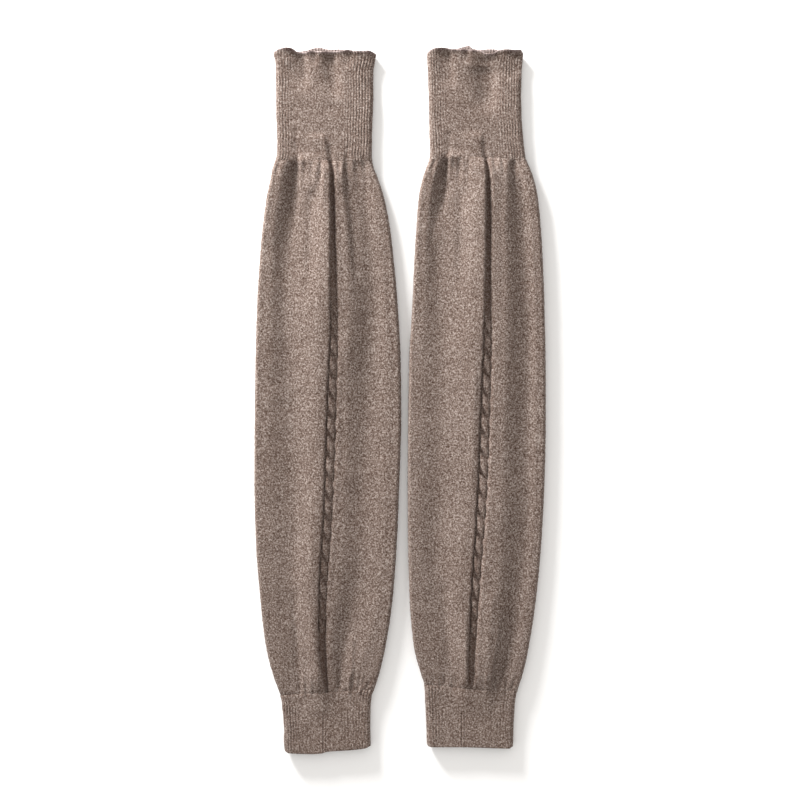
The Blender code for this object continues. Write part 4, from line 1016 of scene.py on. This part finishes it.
def knit_material(name, tone, contrast):
    """Soft marl yarn in plain knitting: V stitches, flecks of dark and light fibre, and fluff.

    tone is a factor on the marl's tones, and contrast is how far it strays from the middle one.
    """
    g = Graph(name)
    where = g.add("TexCoord").outputs["Object"]
    stitches = g.add("UVMap", uv_map="stitches").outputs["UV"]
    split = g.add("SeparateXYZ", {"Vector": stitches})
    wale, course = split.outputs["X"], split.outputs["Y"]

    # Each stitch is a V: two legs of yarn that lean away from the middle of the wale.
    aside = g.math("ABSOLUTE", g.math("SUBTRACT", g.math("FRACT", wale), 0.5))
    raised = g.math("MULTIPLY_ADD", aside, STITCH_LEAN, course)
    along = g.math("SUBTRACT", g.math("FRACT", raised), 0.5)
    strand = g.math("SUBTRACT", 1.0, g.math("POWER", g.math("MULTIPLY", along, 2.0), 2.0))
    off_leg = g.math("MULTIPLY", g.math("SUBTRACT", aside, 0.25), 4.0)
    fall = g.math("MULTIPLY", g.math("POWER", off_leg, 2.0), STITCH_ROUND)
    leg = g.math("SUBTRACT", 1.0, fall)
    stitch = g.math("MULTIPLY", strand, leg, clamp=True)

    cell = g.add("CombineXYZ", {
        "X": g.math("FLOOR", wale), "Y": g.math("FLOOR", raised),
        "Z": g.math("GREATER_THAN", g.math("FRACT", wale), 0.5),
    })
    own = g.add("TexWhiteNoise", {"Vector": cell.outputs[0]})
    own = g.math("MULTIPLY_ADD", own.outputs["Value"], 2.0, -1.0)

    grain = g.noise(where, FLECK, 1.0, 0.5)
    fibre = g.noise(where, FIBRE, 2.0, 0.6)
    cloud = g.noise(where, CLOUD, 2.0, 0.5)
    fleck = 0.0
    for field, part in (
        (grain, GRAIN_SHARE), (own, STITCH_SHARE), (fibre, FIBRE_SHARE), (cloud, CLOUD_SHARE),
    ):
        fleck = g.math("MULTIPLY_ADD", field, part, fleck)

    def shade(colour, share=1.0):
        return tuple(c * share for c in colour) + (1.0,)

    ramp = g.add("ValToRGB", {"Fac": g.math("MULTIPLY_ADD", fleck, contrast, 0.5, clamp=True)})
    stops = ramp.color_ramp.elements
    stops.new(0.5)
    for stop, yarn in zip(stops, (DARK_YARN, MID_YARN, LIGHT_YARN)):
        stop.color = shade(yarn, tone)

    # Painted shade in the gaps between the stitches' legs.
    between = g.math("MULTIPLY", g.math("SUBTRACT", 1.0, stitch), STITCH_GAP_SHADE)
    colour = g.mix(between, ramp.outputs[0], shade(DARK_YARN, tone))
    # Painted shade in the groove and where the hem curls up, and the edge thread's own colour, laid
    # over the marl.
    for mark, most, yarn in (
        ("groove_shade", GROOVE_SHADE_MIX, GROOVE_SHADE_COLOUR), ("curl_shade", CURL_SHADE_MIX, CURL_SHADE_COLOUR),
        ("thread", EDGE_MIX, EDGE_YARN),
    ):
        share = g.add("Attribute", attribute_name=mark).outputs["Fac"]
        colour = g.mix(g.math("MULTIPLY", share, most), colour, shade(yarn))

    height = g.math("MULTIPLY_ADD", fibre, FIBRE_BUMP, g.math("MULTIPLY", stitch, STITCH_BUMP))
    height = g.math("MULTIPLY_ADD", grain, GRAIN_BUMP, height)
    bump = g.add("Bump", {"Height": height, "Strength": 0.8, "Distance": BUMP_DEPTH * MM})
    g.fill(g.shader, {
        "Base Color": colour,
        "Roughness": g.math("MULTIPLY_ADD", fibre, 0.05, 0.88, clamp=True),
        "Normal": bump.outputs[0],
        "Sheen Weight": 0.06,
        "Sheen Roughness": 0.5,
        "Sheen Tint": (0.9, 0.82, 0.78, 1.0),
        "Specular IOR Level": 0.06,
    })
    return g.material


def floor_material():
    g = Graph("pale_floor")
    g.fill(g.shader, {
        "Base Color": (FLOOR_WHITE,) * 3 + (1.0,), "Roughness": 0.9, "Specular IOR Level": 0.0,
    })
    return g.material


# ---- The pair ----
knit = knit_material("marl_knit_cloth", tone=1.04, contrast=0.33)
rib = knit_material("marl_rib_cloth", tone=1.035, contrast=0.31)
for warmer in WARMERS:
    leg = build_leg(warmer, knit)
    thigh = build_band(warmer, thigh_band(warmer), rib)
    ankle = build_band(warmer, ankle_band(warmer), rib)
    for piece, node, slot, flat, area in (
        (thigh, "thigh_rib", "marl_rib", THIGH_CUT, None),
        (leg, "body", "marl_knit", LEG_CUT, LEG_CUT_AREA),
        (ankle, "ankle_rib", "marl_rib", ANKLE_CUT, None),
    ):
        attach(piece, "root")
        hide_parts(warmer.name + "_" + node)

# ---- Floor, light and camera ----
bpy.ops.mesh.primitive_plane_add(size=FLOOR_SIZE, location=(0.0, 0.0, -FLOOR_GAP))
floor = bpy.context.object
floor.name = "floor"
floor.data.materials.append(floor_material())

window = bpy.data.lights.new("window", "AREA")
window.shape = "DISK"
window.size = WINDOW_SIZE
window.energy = WINDOW_POWER
window.color = WINDOW_COLOUR
key = bpy.data.objects.new("window", window)
bpy.context.collection.objects.link(key)
key.location = WINDOW_PLACE
key.rotation_mode = "QUATERNION"
key.rotation_quaternion = Vector(WINDOW_PLACE).to_track_quat("Z", "Y")

world = bpy.data.worlds.new("studio")
bpy.context.scene.world = world
world.use_nodes = True
sky = world.node_tree.nodes["Background"]
sky.inputs["Color"].default_value = SKY_COLOUR
sky.inputs["Strength"].default_value = SKY_STRENGTH

camera_data = bpy.data.cameras.new("camera")
camera_data.lens = LENS
camera_data.sensor_width = SENSOR
camera = bpy.data.objects.new("camera", camera_data)
bpy.context.collection.objects.link(camera)
camera.location = (0.0, FRAME_CENTRE_Y * MM, (FRAME_WIDTH * LENS / SENSOR + FRAME_Z) * MM)
bpy.context.scene.camera = camera
bpy.context.scene.view_settings.view_transform = "Standard"
